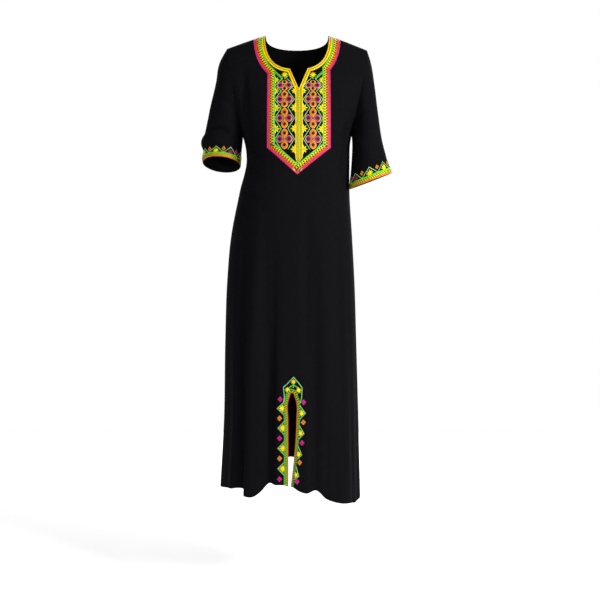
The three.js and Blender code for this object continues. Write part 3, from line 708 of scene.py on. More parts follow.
def bodySheet(face):
    edgeAcross, edgeDrop = topEdge(face)
    columns = len(edgeAcross)
    middle = columns // 2
    if face == "front":
        turns = np.concatenate([crowdedTurns(-90, 0, middle), crowdedTurns(0, 90, middle)[1:]])
        lowAcross = turns / 90
    else:
        turns = np.concatenate([crowdedTurns(270, 180, middle), crowdedTurns(180, 90, middle)[1:]])
        lowAcross = (180 - turns) / 90
    yokeEnd = ringDrops[cloth["yokeRows"]]
    share = (ringDrops[:cloth["yokeRows"] + 1] / yokeEnd)[:, None]
    levels = np.concatenate([
        ringDrops[cloth["yokeRows"] + 1:],
        np.linspace(armhole["drop"], slit["top"], cloth["skirtRows"] + 1)[1:],
        np.linspace(slit["top"], slit["open"], cloth["tipRows"] + 1)[1:],
        np.linspace(slit["open"], hemDrop, cloth["slitRows"] + 1)[1:],
    ])[:, None]
    across = np.concatenate([edgeAcross + (lowAcross - edgeAcross) * share, lowAcross + 0 * levels])
    drop = np.concatenate([edgeDrop + (yokeEnd - edgeDrop) * share, levels + 0 * lowAcross])
    lip = np.sign(np.arange(columns) - middle)
    lip[middle] = -1
    points = bodySurface(face, across, drop, lip + 0 * across)
    index = np.arange(points.shape[0] * columns).reshape(-1, columns)
    points = points.reshape(-1, 3)
    leftIndex = index.copy()
    if face == "front":
        parted = np.nonzero(drop[:, middle] > slit["top"] + justOff)[0]
        otherLip = bodySurface(face, across[parted, middle], drop[parted, middle], 1.0)
        leftIndex[parted, middle] = len(points) + np.arange(len(parted))
        points = np.concatenate([points, otherLip])
    quads = np.concatenate([gridQuads(index[:, :middle + 1]), gridQuads(leftIndex[:, middle:])])
    return {"name": face, "points": points, "quads": quads if face == "front" else quads[:, ::-1]}


def sleeveSheet(name):
    steps = cloth["ringSteps"]
    degreesRound = np.concatenate([np.arange(steps + 1), np.arange(-steps + 1, 1)]) * 180 / steps
    rows = np.linspace(0, 1, cloth["sleeveRows"] + 1)[:, None]
    points = sleeveSurface(sleeves[name], degreesRound[None, :], rows)
    index = np.arange(points.shape[0] * points.shape[1]).reshape(points.shape[:2])
    index[:, -1] = index[:, 0]
    quads = gridQuads(index)
    if sleeves[name]["side"] > 0:
        quads = quads[:, ::-1]
    return {"name": name, "points": points.reshape(-1, 3), "quads": quads}


sheets = [bodySheet("front"), bodySheet("back"), sleeveSheet("sleeve_left"), sleeveSheet("sleeve_right")]
for sheet, normals in zip(sheets, sharedNormals(sheets)):
    sheet["points"] = sheet["points"] + normals * creaseOffset(sheet["name"], sheet["points"])[:, None]
clothNames = {"front": ("front_cloth", "front_panel"), "back": ("back_cloth", "back_panel"),
              "sleeve_left": ("sleeve_cloth_left", "sleeve_left"),
              "sleeve_right": ("sleeve_cloth_right", "sleeve_right")}
for sheet, normals in zip(sheets, sharedNormals(sheets)):
    pieceName, node = clothNames[sheet["name"]]
    half = cloth["wall"] / 2
    points, faces = closedCloth(sheet["points"], sheet["quads"], normals, -half, half)
    piece = addObject(pieceName, points, faces, [crepeMaterial])
    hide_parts(node)
print("cloth cut and hung")


# Embroidery: every stitch is laid on a chart of the cloth that it is sewn to
def newWork():
    return {"points": [], "faces": [], "uvs": [], "threads": [], "count": 0}


def layGrid(work, chart, thread, places, heights, uvs, base, closed=False):
    # places is a grid of chart places, rows along the stitching and columns across it
    rows, columns = heights.shape
    here, outward = chart(places[..., 0], places[..., 1])
    points = here + outward * (base + heights)[..., None]
    index = work["count"] + np.arange(rows * columns).reshape(rows, columns)
    if closed:
        index = np.concatenate([index, index[:1]])
    quads = gridQuads(index)
    work["points"].append(points.reshape(-1, 3))
    work["uvs"].append(uvs.reshape(-1, 2))
    work["faces"] += quads.tolist()
    work["threads"] += [thread] * len(quads)
    work["count"] += rows * columns


stitch = {"base": 0.95, "satinHeight": 0.75, "across": (-1.0, -0.72, -0.3, 0.3, 0.72, 1.0),
          "crown": (0.0, 0.72, 1.0, 1.0, 0.72, 0.0),
          "lineHeight": 0.6, "lineSpacing": 4, "mitreLimit": 0.45, "sunk": 0.9}
raised = stitch["base"] + stitch["satinHeight"] * stitch["sunk"]  # base of stitches that lie on others


def runAlong(path):
    # how far along the path each of its places is
    return np.concatenate([[0], np.cumsum(np.linalg.norm(np.diff(path, axis=0), axis=-1))])


def placesAt(path, run, wanted):
    return np.stack([np.interp(wanted, run, path[:, k]) for k in range(2)], axis=-1)


def layBetween(work, chart, thread, sideA, sideB, height=stitch["satinHeight"], base=stitch["base"]):
    # a crowned ribbon of satin stitch between two paths with the same number of places
    share = (np.array(stitch["across"]) + 1) / 2
    places = sideA[:, None, :] + (sideB - sideA)[:, None, :] * share[None, :, None]
    run = runAlong((sideA + sideB) / 2)
    uvs = np.stack(np.broadcast_arrays(share[None, :], run[:, None]), axis=-1)
    heights = np.array(stitch["crown"])[None, :] * height * np.ones((len(run), 1))
    layGrid(work, chart, thread, places, heights, uvs, base)


def sidewaysOf(path):
    # unit directions to the left of a path, mitred at its corners
    step = unit(np.diff(path, axis=0))
    before = np.concatenate([step[:1], step])
    after = np.concatenate([step, step[-1:]])
    middle = unit(before + after)
    left = np.stack([-middle[:, 1], middle[:, 0]], axis=-1)
    plain = np.stack([-after[:, 1], after[:, 0]], axis=-1)
    return left / np.maximum(np.sum(left * plain, axis=-1, keepdims=True), stitch["mitreLimit"])


def resample(path, spacing):
    path = np.asarray(path, float)
    pieces = []
    for start, end in zip(path[:-1], path[1:]):
        count = max(1, int(math.ceil(np.linalg.norm(end - start) / spacing)))
        pieces.append(start + (end - start) * (np.arange(count) / count)[:, None])
    return np.concatenate(pieces + [path[-1:]])


def layLine(work, chart, thread, path, width, scale=(1, 1)):
    # a line of stitching along a path; scale turns millimetres into the chart's own units
    path = resample(np.asarray(path, float) / scale, stitch["lineSpacing"])
    side = sidewaysOf(path) * width / 2
    layBetween(work, chart, thread, (path + side) * scale, (path - side) * scale, stitch["lineHeight"])


pad = {"rings": (1.0, 0.78, 0.4, 0.0), "crown": (0.0, 0.75, 0.97, 1.0), "height": 0.8}


def layPad(work, chart, thread, outline, height=pad["height"], base=stitch["base"], scale=(1, 1)):
    # a domed patch of stitching inside a closed outline
    outline = np.asarray(outline, float)
    centre = outline.mean(axis=0)
    rings = np.array(pad["rings"])
    places = (centre + (outline[:, None, :] - centre) * rings[None, :, None]) * scale
    uvs = outline[:, None, :] * rings[None, :, None]
    heights = np.array(pad["crown"])[None, :] * height * np.ones((len(outline), 1))
    layGrid(work, chart, thread, places, heights, uvs, base, closed=True)


def turned(points, angle):
    cosine = math.cos(angle)
    sine = math.sin(angle)
    points = np.asarray(points, float)
    return np.stack([points[..., 0] * cosine - points[..., 1] * sine,
                     points[..., 0] * sine + points[..., 1] * cosine], axis=-1)


petalShape = {"steps": 13, "fullest": 0.56, "roundness": 0.62}


def petal(root, tip, width, fullest=petalShape["fullest"]):
    # a rounded leaf from root to tip, fullest a little past its middle
    root = np.array(root, float)
    tip = np.array(tip, float)
    t = (1 - np.cos(math.pi * np.linspace(0, 1, petalShape["steps"]))) / 2
    swelling = np.maximum(np.sin(math.pi * t ** (math.log(0.5) / math.log(fullest))), 0)
    bulge = swelling ** petalShape["roundness"]
    along = root + (tip - root) * t[:, None]
    direction = (tip - root) / np.linalg.norm(tip - root)
    left = np.array([-direction[1], direction[0]]) * width / 2
    return np.concatenate([along + left * bulge[:, None], (along - left * bulge[:, None])[::-1][1:-1]])


# A star's rays, as shares of its radius: how wide at their waists and tips, and the disc on a whole star
star = {"rays": 8, "shortRay": 0.9, "waistAt": 0.55, "waistHalf": 0.19, "tipHalf": 0.05,
        "turnedAway": -0.1, "disc": 0.4, "discHeight": 1.1}


def layStar(work, chart, thread, centre, radius, scale=(1, 1), facing=None):
    # a star of eight pointed stitches, or the half of it that faces one way
    centre = np.array(centre, float)
    waist = radius * star["waistHalf"]
    tip = radius * star["tipHalf"]
    for k in range(star["rays"]):
        angle = 2 * math.pi * k / star["rays"]
        if facing is not None and math.cos(angle - facing) < star["turnedAway"]:
            continue
        length = radius * (1 if k % 2 == 0 else star["shortRay"])
        waistAt = length * star["waistAt"]
        ray = turned([(0, 0), (waistAt, waist), (length, tip), (length, -tip), (waistAt, -waist)], angle)
        layPad(work, chart, thread, centre + ray, scale=scale)
    if facing is None:
        angles = np.linspace(0, 2 * math.pi, star["rays"] + 1)[:-1]
        disc = np.stack([np.cos(angles), np.sin(angles)], axis=-1) * radius * star["disc"]
        layPad(work, chart, thread, centre + disc, pad["height"] * star["discHeight"], scale=scale)


# A diamond's parts, as shares of its size
diamond = {"tall": 1.15, "part": 0.46, "eye": 0.14, "eyeHeight": 1.1}


def layDiamond(work, chart, thread, core, centre, size, scale=(1, 1)):
    # four small diamonds set as a larger one round a dark eye
    centre = np.array(centre, float)
    tall = diamond["tall"]
    corners = np.array([(1, 0), (0, tall), (-1, 0), (0, -tall)]) * size / 2
    for corner in corners:
        layPad(work, chart, thread, centre + corner / 2 + corners * diamond["part"], scale=scale)
    layPad(work, chart, core, centre + corners * diamond["eye"], diamond["eyeHeight"], scale=scale)


def finishWork(name, work):
    used = sorted(set(work["threads"]))
    numbers = {thread: i for i, thread in enumerate(used)}
    addObject(name, np.concatenate(work["points"]), work["faces"],
              [threadMaterials[thread] for thread in used],
              [numbers[thread] for thread in work["threads"]], np.concatenate(work["uvs"]))
    print(name, len(work["faces"]), "faces")


# The cloth under the stitches, between these heights over the panel
ground = {"inner": 0.5, "outer": 0.95, "rimInset": 0.05}


def groundCloth(chart, outerPath, innerPath, columns, flip):
    # a thin patch of black crepe between two paths, laid on the panel
    share = np.linspace(0, 1, columns)
    places = outerPath[:, None, :] + (innerPath - outerPath)[:, None, :] * share[None, :, None]
    here, outward = chart(places[..., 0], places[..., 1])
    quads = gridQuads(np.arange(here.shape[0] * here.shape[1]).reshape(here.shape[:2]))
    if flip:
        quads = quads[:, ::-1]
    return here.reshape(-1, 3), quads, outward.reshape(-1, 3)


def joinGrounds(name, node, grounds):
    points = []
    faces = []
    count = 0
    for here, quads, outward in grounds:
        both, shell = closedCloth(here, quads, outward, ground["inner"], ground["outer"], ground["rimInset"])
        points.append(both)
        faces += [[i + count for i in face] for face in shell]
        count += len(both)
    piece = addObject(name, np.concatenate(points), faces, [crepeMaterial])
    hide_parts(node)
    return piece


# The yoke: its outline, then stripes inside the outline, then the motifs
yoke = {"centre": 5, "half": 82, "collarHalf": 116, "collarDepth": 149, "collarPower": 2.3,
        "corner": -295, "tip": (1, -366), "backHalf": 115, "backDepth": 52,
        "curveSteps": 40, "backSteps": 44, "spacing": 4, "groundRows": 150, "groundColumns": 22}
# Stripes of the border from the yoke's edge inwards, in millimetres
borderStripes = table(
    ("thread", "start", "end"),
    ("hotPink", 0.0, 3.4),
    ("coral", 3.4, 7.9),
    ("amber", 7.9, 11.9),
    ("yellow", 11.9, 17.4),
    ("green", 17.4, 20.6),
)
# Black stitches set in the stripes; the real ones are finer and are drawn coarser so that they show.
# Each row has its place in from the edge and its start as a share of the pitch.
checker = {"pitch": 7.0, "size": 3.7, "height": 0.45, "rows": ((10.0, 0.5), (14.9, 1.0))}
# Stripes of the braid from the neckline outwards
neckStripes = table(
    ("thread", "start", "end"),
    ("darkGreen", 0.0, 1.2),
    ("yellow", 1.2, 4.0),
    ("orange", 4.0, 6.6),
    ("yellow", 6.6, 10.6),
)


def yokeEdge(side):
    # the yoke's edge from shoulder to tip
    endX = yoke["half"] + side * yoke["centre"]
    endAngle = math.acos((endX / yoke["collarHalf"]) ** (yoke["collarPower"] / 2))
    angle = np.linspace(0, endAngle, yoke["curveSteps"])
    x = yoke["collarHalf"] * np.cos(angle) ** (2 / yoke["collarPower"])
    z = neck["top"] - yoke["collarDepth"] * np.sin(angle) ** (2 / yoke["collarPower"])
    curve = np.stack([side * x, z], axis=-1)
    line = resample([(side * endX, z[-1]), (side * endX, yoke["corner"]), yoke["tip"]], yoke["spacing"])
    return np.concatenate([curve, line[1:]])


def inset(path, side, distance):
    return path + sidewaysOf(path) * distance * side


def backEdge(half, depth, side):
    angle = np.linspace(0, math.pi / 2, yoke["backSteps"])
    x = half * np.maximum(np.cos(angle), 0) ** (2 / neck["back"]["power"])
    z = neck["top"] - depth * np.sin(angle) ** (2 / neck["back"]["power"])
    return np.stack([side * x, z], axis=-1)


wayStep = 0.5  # millimetres to each side over which a path's way is measured


def alongPath(path, spacing, phase):
    # evenly spaced places on a path, with the way it runs at each
    run = runAlong(path)
    wanted = np.arange(phase * spacing, run[-1], spacing)
    ahead = placesAt(path, run, wanted + wayStep)
    behind = placesAt(path, run, wanted - wayStep)
    return placesAt(path, run, wanted), unit(ahead - behind)


def layDots(work, chart, thread, path, spacing, size, phase, height, base, scale=(1, 1)):
    # a row of short square stitches
    places, ways = alongPath(np.asarray(path, float) / scale, spacing, phase)
    for place, way in zip(places, ways * (size / 2)):
        left = np.array([-way[1], way[0]])
        outline = [place + way + left, place - way + left, place - way - left, place + way - left]
        layPad(work, chart, thread, outline, height, base, scale)


frontChart = bodyChart("front")
backChart = bodyChart("back")


def layBorder(work, chart, edgeAt):
    # the striped border; edgeAt gives the path at a distance in from the edge
    for stripe in borderStripes:
        layBetween(work, chart, stripe["thread"], edgeAt(stripe["start"]), edgeAt(stripe["end"]))
    for place, phase in checker["rows"]:
        layDots(work, chart, "black", edgeAt(place), checker["pitch"], checker["size"], phase,
                checker["height"], raised)


yokeWork = newWork()
for side in (-1, 1):
    layBorder(yokeWork, frontChart, lambda distance, side=side: inset(yokeEdge(side), -side, distance))
print("border laid")


def neckAt(side, distance):
    # a line beside the neckline, from the shoulder to the notch's bottom
    return inset(necklineHalf("front", side), side, distance)


for side in (-1, 1):
    for stripe in neckStripes:
        layBetween(yokeWork, frontChart, stripe["thread"], neckAt(side, stripe["start"]),
                   neckAt(side, stripe["end"]))

placket = {"middle": 5.5, "half": 9.5, "top": -145, "end": -322, "tip": (1.7, -338),
           "shoulderSlope": 1.6,  # how much lower the outer lines begin, for each millimetre out
           "tipSpread": 0.08, "rows": 44, "tipRows": 7, "lift": 0.1,
           "dots": {"pitch": 4.6, "size": 2.4, "height": 0.4},
           "chevron": ((-3.0, -334), (1.7, -343), (6.4, -334)), "chevronWidth": 3.0}
placketStripes = table(
    ("thread", "start", "end"),
    ("yellow", -9.5, -6.6),
    ("orange", -6.6, -3.6),
    ("lime", -3.6, 3.6),
    ("orange", 3.6, 6.6),
    ("yellow", 6.6, 9.5),
)


def placketLine(offset):
    # a line down the placket, drawn in to a point at its end
    z = np.linspace(placket["top"] + abs(offset) * placket["shoulderSlope"], placket["end"], placket["rows"])
    down = np.stack([placket["middle"] + offset + 0 * z, z], axis=-1)
    t = np.linspace(0, 1, placket["tipRows"] + 1)[1:]
    point = np.array(placket["tip"]) + [offset * placket["tipSpread"], 0]
    return np.concatenate([down, down[-1] + (point - down[-1]) * t[:, None]])


for stripe in placketStripes:
    layBetween(yokeWork, frontChart, stripe["thread"], placketLine(stripe["start"]),
               placketLine(stripe["end"]), base=stitch["base"] + placket["lift"])
layDots(yokeWork, frontChart, "darkGreen", placketLine(0), placket["dots"]["pitch"], placket["dots"]["size"],
        0.5, placket["dots"]["height"], raised + placket["lift"])
layLine(yokeWork, frontChart, "paleGreen", placket["chevron"], placket["chevronWidth"])

# Flower motifs hang in a chain on each side of the placket; waists are the heights between them
motif = {"offset": 36.7, "half": 20.8, "waists": (-117, -147.5, -193, -248, -301.5), "rim": 1.25,
         "fullTall": 22,  # half the height from which a flower is full-sized
         "root": 2.2, "gap": 0.4, "eye": (9.2, 10.6), "eyeAt": 0.53, "eyeFullest": 0.5,
         "heart": 1.4, "innerTip": 1.4,
         # how much of a measure stays, and how much follows the flower's size
         "wideParts": (0.9, 0.1), "petalParts": (0.55, 0.45), "eyeParts": (0.6, 0.4),
         "rimHeight": 0.7, "petalHeight": 0.75, "petalLift": 0.35, "eyeHeight": 0.6, "eyeLift": 0.8,
         "heartHeight": 1.2}
petals = {
    "tall": {"width": 18.0, "thread": "petalOrange", "rim": "paleOrange", "eye": "darkRed", "eyeLong": 1.0},
    "wide": {"width": 19.0, "thread": "petalPink", "rim": "creamPink", "eye": "plum", "eyeLong": 0.95},
}


def sized(parts, share):
    # a measure of which one part stays and the other follows the share
    return parts[0] + parts[1] * share


def layMotif(work, chart, x, top, bottom):
    # a flower of four petals: orange above and below, pink at the sides, each with a dark eye
    centre = np.array([x, (top + bottom) / 2])
    tall = (top - bottom) / 2
    shrink = min(1.0, tall / motif["fullTall"])
    reach = {"tall": tall - motif["gap"], "wide": motif["half"] * sized(motif["wideParts"], shrink)}
    eyeWide, eyeTall = np.array(motif["eye"]) * sized(motif["eyeParts"], shrink)
    for way, kind in (((0, 1), "tall"), ((0, -1), "tall"), ((-1, 0), "wide"), ((1, 0), "wide")):
        leaf = petals[kind]
        way = np.array(way, float)
        root = centre + way * motif["root"]
        tip = centre + way * reach[kind]
        width = leaf["width"] * sized(motif["petalParts"], shrink)
        layPad(work, chart, leaf["rim"], petal(root, tip, width), motif["rimHeight"])
        innerRoot = root + way * motif["rim"]
        innerTip = tip - way * motif["rim"] * motif["innerTip"]
        layPad(work, chart, leaf["thread"], petal(innerRoot, innerTip, width - 2 * motif["rim"]),
               motif["petalHeight"], stitch["base"] + motif["petalLift"])
        eyeAt = root + (tip - root) * motif["eyeAt"]
        eyeHalf = way * eyeTall * leaf["eyeLong"] / 2
        eye = petal(eyeAt - eyeHalf, eyeAt + eyeHalf, eyeWide, motif["eyeFullest"])
        layPad(work, chart, leaf["eye"], eye, motif["eyeHeight"], stitch["base"] + motif["eyeLift"])
    heart = np.array([(1, 0), (0, 1), (-1, 0), (0, -1)]) * motif["heart"]
    layPad(work, chart, "yellow", centre + heart, motif["heartHeight"])


# Round the chain: zigzags, half stars on the border and the placket, and bars at the collar's corner
chain = {"zigzagTop": (5.5, 3.5), "zigzagOut": 4.6, "zigzagIn": 8.5, "zigzagWidth": 1.6,
         "starRadius": 12.0, "smallStars": 2, "smallSize": 0.8, "borderStar": 60.5, "placketStar": 0.8,
         "topStar": {"up": 14.5, "radius": 8.6},
         "bar": ((63, -93), (43, -113)), "barWidth": 5.0,
         "barDots": {"pitch": 3.4, "size": 1.8, "height": 0.4},
         "shortLine": ((37.5, -114), (28, -106)), "shortLineWidth": 1.7}


def fromMiddle(side, places):
    return [(yoke["centre"] + side * out, z) for out, z in places]


def layChain(side):
    x = yoke["centre"] + side * motif["offset"]
    waists = motif["waists"]
    for top, bottom in zip(waists[:-1], waists[1:]):
        layMotif(yokeWork, frontChart, x, top, bottom)
    # in at the waists, out beside the widest places
    for hand in (-1, 1):
        zigzag = [(x + hand * chain["zigzagTop"][0], waists[0] + chain["zigzagTop"][1])]
        for top, bottom in zip(waists[:-1], waists[1:]):
            zigzag.append((x + hand * (motif["half"] + chain["zigzagOut"]), (top + bottom) / 2))
            zigzag.append((x + hand * chain["zigzagIn"], bottom))
        layLine(yokeWork, frontChart, "paleGreen", zigzag, chain["zigzagWidth"])
    outward, inward = (0, math.pi) if side > 0 else (math.pi, 0)
    borderX = yoke["centre"] + side * chain["borderStar"]
    placketX = placket["middle"] + side * (placket["half"] + chain["placketStar"])
    for k, z in enumerate(waists):
        size = chain["starRadius"] * (chain["smallSize"] if k < chain["smallStars"] else 1)
        if k < len(waists) - 1:
            layStar(yokeWork, frontChart, "yellow", (borderX, z), size, facing=inward)
        if k > 0:
            layStar(yokeWork, frontChart, "yellow", (placketX, z), size, facing=outward)
    topStar = chain["topStar"]
    layStar(yokeWork, frontChart, "yellow", (x, waists[0] + topStar["up"]), topStar["radius"])
    bar = fromMiddle(side, chain["bar"])
    layLine(yokeWork, frontChart, "green", bar, chain["barWidth"])
    layDots(yokeWork, frontChart, "darkGreen", bar, chain["barDots"]["pitch"], chain["barDots"]["size"],
            0.5, chain["barDots"]["height"], raised)
    layLine(yokeWork, frontChart, "paleGreen", fromMiddle(side, chain["shortLine"]), chain["shortLineWidth"])


for side in (-1, 1):
    layChain(side)
finishWork("yoke_embroidery", yokeWork)


def evenly(path, count):
    # the same path with evenly spaced places
    run = runAlong(path)
    return placesAt(path, run, np.linspace(0, run[-1], count))


# The black ground of the yoke: from its edge in to the neckline, then to the placket's middle
grounds = []
for side in (-1, 1):
    middleLine = resample([(notch["centre"], notch["bottom"]), yoke["tip"]], yoke["spacing"])
    inner = np.concatenate([necklineHalf("front", side), middleLine[1:]])
    grounds.append(groundCloth(frontChart, evenly(yokeEdge(side), yoke["groundRows"]),
                               evenly(inner, yoke["groundRows"]), yoke["groundColumns"], side > 0))
yokeGround = joinGrounds("yoke_ground", "neck_yoke", grounds)

# The collar carried round the back of the neck: its band is 28 mm wide, in which the front's measures
# are drawn at this share, and its neckline lies at neckAt in those measures
backBand = {"share": 0.88, "width": 28, "neckAt": 31.8, "groundColumns": 8}
backWork = newWork()


def layBackBand(side):
    # stitches one half of the band, and gives the cloth under it
    outer = backEdge(yoke["backHalf"], yoke["backDepth"], side)
    inner = backEdge(neck["half"], neck["back"]["depth"], side)

    def backLine(distance):
        return outer + (inner - outer) * np.clip(distance * backBand["share"] / backBand["width"], 0, 1)

    layBorder(backWork, backChart, backLine)
    for stripe in neckStripes:
        layBetween(backWork, backChart, stripe["thread"], backLine(backBand["neckAt"] - stripe["start"]),
                   backLine(backBand["neckAt"] - stripe["end"]))
    return groundCloth(backChart, outer, inner, backBand["groundColumns"], side < 0)


backGrounds = [layBackBand(side) for side in (-1, 1)]
finishWork("back_neck_embroidery", backWork)
backGround = joinGrounds("back_neck_ground", "neck_band_back", backGrounds)
print("neck embroidered")

# The slit: a pointed arch over two braided edges with triangles, stars and diamonds beside them
slitWork = {
    "strip": 11.5, "archTop": -935.0, "archRise": 9.0, "archSteps": 12,
    "hem": -1180,  # about where the slit ends, to see how narrow its braid is there
    "edgeFrom": 0.5, "edgeSteps": 120, "hemReach": 0.35, "hemSteps": 60,
    "hemGap": 0.3, "rows": 60, "columns": 5, "fanColumns": 7, "roofSpacing": 3, "edge": 0.1,
    "seenWidth": {-1: {"z": (-1180, -900), "share": (1.0, 1.0)},
                  1: {"z": (-1180, -1120, -1040, -960, -900), "share": (0.6, 0.66, 0.77, 0.84, 0.88)}},
    "triangleHalf": 16.8, "triangleDeep": 15.4, "triangleOverlap": 0.5, "triangleWidth": 1.5,
    "starAt": 14.2, "starRadius": 10.0, "starSag": 0.6, "starParts": (0.3, 0.7),
    "diamondAt": 22.6, "diamondSize": 13.4,
    "dotPitch": 6.2, "dotSize": 3.5, "dotHeight": 0.45, "dotRows": ((5.2, 0.25), (8.6, 0.75)),
    "brickDots": {"out": 2.9, "size": 1.9, "height": 0.4},
}
# The arch over the slit: a roof from its top down each side, short lines under it and three stars
arch = {
    "top": (-8.4, -885.4), "roofWidth": 1.7, "roofEnd": -950,
    "sides": {-1: ((-26.4, -904.6), (-34.3, -910.3), (-31.8, -936)),
              1: ((7.0, -903.5), (13.4, -912.7), (12.2, -938))},
    "middle": -8.9, "ribs": ((0, -905), (11, -912), (17, -926)), "stem": (-903, -913), "ribWidth": 2.4,
    "stars": (((-8.9, -897.5), 7.0), ((-23.7, -917.5), 7.4), ((4.6, -918.5), 7.4)),
}
# Heights of what is stitched beside the slit, on the wearer's right and left of it, and how far a
# triangle's point sags on the left
slitRows = table(
    ("right", "left", "shape", "thread", "sag"),
    (-941.3, -949.2, "diamond", "magenta", 0),
    (-964.5, -975.4, "triangle", "yellow", 2),
    (-989.7, -1000.0, "diamond", "diamondOrange", 0),
    (-1014.5, -1025.8, "triangle", "yellow", 3),
    (-1040.2, -1052.0, "diamond", "magenta", 0),
    (-1065.4, -1077.0, "triangle", "yellow", 6),
    (-1091.1, -1101.5, "diamond", "diamondOrange", 0),
    (-1116.8, -1127.4, "triangle", "yellow", 9),
    (-1143.2, -1149.6, "diamond", "magenta", 0),
)
edgeDrops = np.linspace(slit["top"] + slitWork["edgeFrom"], hemDrop, slitWork["edgeSteps"])
slitCharts = {}
slitEdges = {}
for lip in (-1, 1):
    lipPoints = bodySurface("front", lip * justOff, edgeDrops, float(lip))
    slitEdges[lip] = (lipPoints[::-1, 2], lipPoints[::-1, 0])
    slitCharts[lip] = bodyChart("front", float(lip), folded=True)
archMiddle = float(sum(np.interp(slitWork["archTop"], *slitEdges[lip]) for lip in (-1, 1)) / 2)


def hemBeside(lip, out):
    # height of the hem at a distance out from the slit's edge
    across = np.linspace(justOff, slitWork["hemReach"], slitWork["hemSteps"])
    hem = bodySurface("front", lip * across, hemDrop, float(lip))
    return float(np.interp(hem[0, 0] * lip + out, hem[:, 0] * lip, hem[:, 2]))


def seenShare(lip, z):
    # the cloth on the wearer's left of the slit turns away from the eye, so its braid is seen narrower
    return np.interp(z, slitWork["seenWidth"][lip]["z"], slitWork["seenWidth"][lip]["share"])


def besideSlit(lip, out, z):
    return np.interp(z, *slitEdges[lip]) + lip * out * seenShare(lip, z), z


def slitLine(lip, out):
    # a line beside the opening, a set distance out from its edge, from the hem up to the arch
    lowest = hemBeside(lip, out * seenShare(lip, slitWork["hem"])) + slitWork["hemGap"]
    z = np.linspace(lowest, slitWork["archTop"], slitWork["rows"])
    return np.stack(besideSlit(lip, out, z), axis=-1)


def archLine(lip, out):
    # the same line's way on over the arch, from the side to the middle
    reach = besideSlit(lip, out, slitWork["archTop"])[0] - archMiddle
    rise = slitWork["archRise"] + out * seenShare(lip, slitWork["archTop"])
    angle = np.linspace(0, math.pi / 2, slitWork["archSteps"])
    return np.stack([archMiddle + reach * np.cos(angle), slitWork["archTop"] + rise * np.sin(angle)], axis=-1)


def edgeLine(lip, out):
    return np.concatenate([slitLine(lip, out), archLine(lip, out)[1:]])


slitStripes = table(
    ("thread", "start", "end"),
    ("brick", 0.2, 1.9),
    ("amber", 1.9, 3.7),
    ("lime", 3.7, 8.4),
    ("green", 8.4, 11.5),
)
slitStitches = newWork()


def layTriangle(lip, chart, middle, sag, thread):
    # a triangle of line stitching with a star in it, its point sagging towards the hem
    half = slitWork["triangleHalf"]
    inner = slitWork["strip"] - slitWork["triangleOverlap"]
    outer = slitWork["strip"] + slitWork["triangleDeep"]
    layLine(slitStitches, chart, "paleGreen",
            [besideSlit(lip, inner, middle + half), besideSlit(lip, outer, middle - sag),
             besideSlit(lip, inner, middle - half)], slitWork["triangleWidth"])
    centre = besideSlit(lip, slitWork["starAt"], middle - sag * slitWork["starSag"])
    layStar(slitStitches, chart, thread, centre,
            slitWork["starRadius"] * sized(slitWork["starParts"], seenShare(lip, middle)))


def laySlitEdge(lip):
    chart = slitCharts[lip]
    for stripe in slitStripes:
        layBetween(slitStitches, chart, stripe["thread"], edgeLine(lip, stripe["start"]),
                   edgeLine(lip, stripe["end"]))
    for out, phase in slitWork["dotRows"]:
        layDots(slitStitches, chart, "black", edgeLine(lip, out), slitWork["dotPitch"], slitWork["dotSize"],
                phase, slitWork["dotHeight"], raised)
    brick = slitWork["brickDots"]
    layDots(slitStitches, chart, "brick", edgeLine(lip, brick["out"]), slitWork["dotPitch"], brick["size"],
            0.5, brick["height"], raised)
    for row in slitRows:
        middle = row["left"] if lip > 0 else row["right"]
        if row["shape"] == "diamond":
            layDiamond(slitStitches, chart, row["thread"], "darkRed",
                       besideSlit(lip, slitWork["diamondAt"], middle), slitWork["diamondSize"])
        else:
            layTriangle(lip, chart, middle, row["sag"] if lip > 0 else 0, row["thread"])


def layArch():
    chart = bodyChart("front", folded=True)
    for lip in (-1, 1):
        roofEnd = besideSlit(lip, slitWork["strip"] + 1, arch["roofEnd"])
        roof = [arch["top"], *arch["sides"][lip], roofEnd]
        layLine(slitStitches, chart, "paleGreen", roof, arch["roofWidth"])
        ribs = [(arch["middle"] + lip * out, z) for out, z in arch["ribs"]]
        layLine(slitStitches, chart, "green", ribs, arch["ribWidth"])
    stem = [(arch["middle"], z) for z in arch["stem"]]
    layLine(slitStitches, chart, "green", stem, arch["ribWidth"])
    for place, radius in arch["stars"]:
        layStar(slitStitches, chart, "yellow", place, radius)


for lip in (-1, 1):
    laySlitEdge(lip)
layArch()
finishWork("slit_embroidery", slitStitches)

# The ground of the slit's braid: a strip down each side, and a fan under the arch's roof
slitGrounds = []
for lip in (-1, 1):
    chart = slitCharts[lip]
    slitGrounds.append(groundCloth(chart, slitLine(lip, slitWork["strip"]), slitLine(lip, slitWork["edge"]),
                                   slitWork["columns"], lip < 0))
    upperSide, lowerSide = arch["sides"][lip][:2]
    roofEnd = besideSlit(lip, slitWork["strip"], slitWork["archTop"])
    roof = resample([roofEnd, lowerSide, upperSide, arch["top"]], slitWork["roofSpacing"])
    under = archLine(lip, slitWork["edge"])
    under = placesAt(under, np.linspace(0, 1, len(under)), np.linspace(0, 1, len(roof)))
    slitGrounds.append(groundCloth(chart, roof, under, slitWork["fanColumns"], lip < 0))
slitGround = joinGrounds("slit_ground", "slit_braid", slitGrounds)
print("slit embroidered")

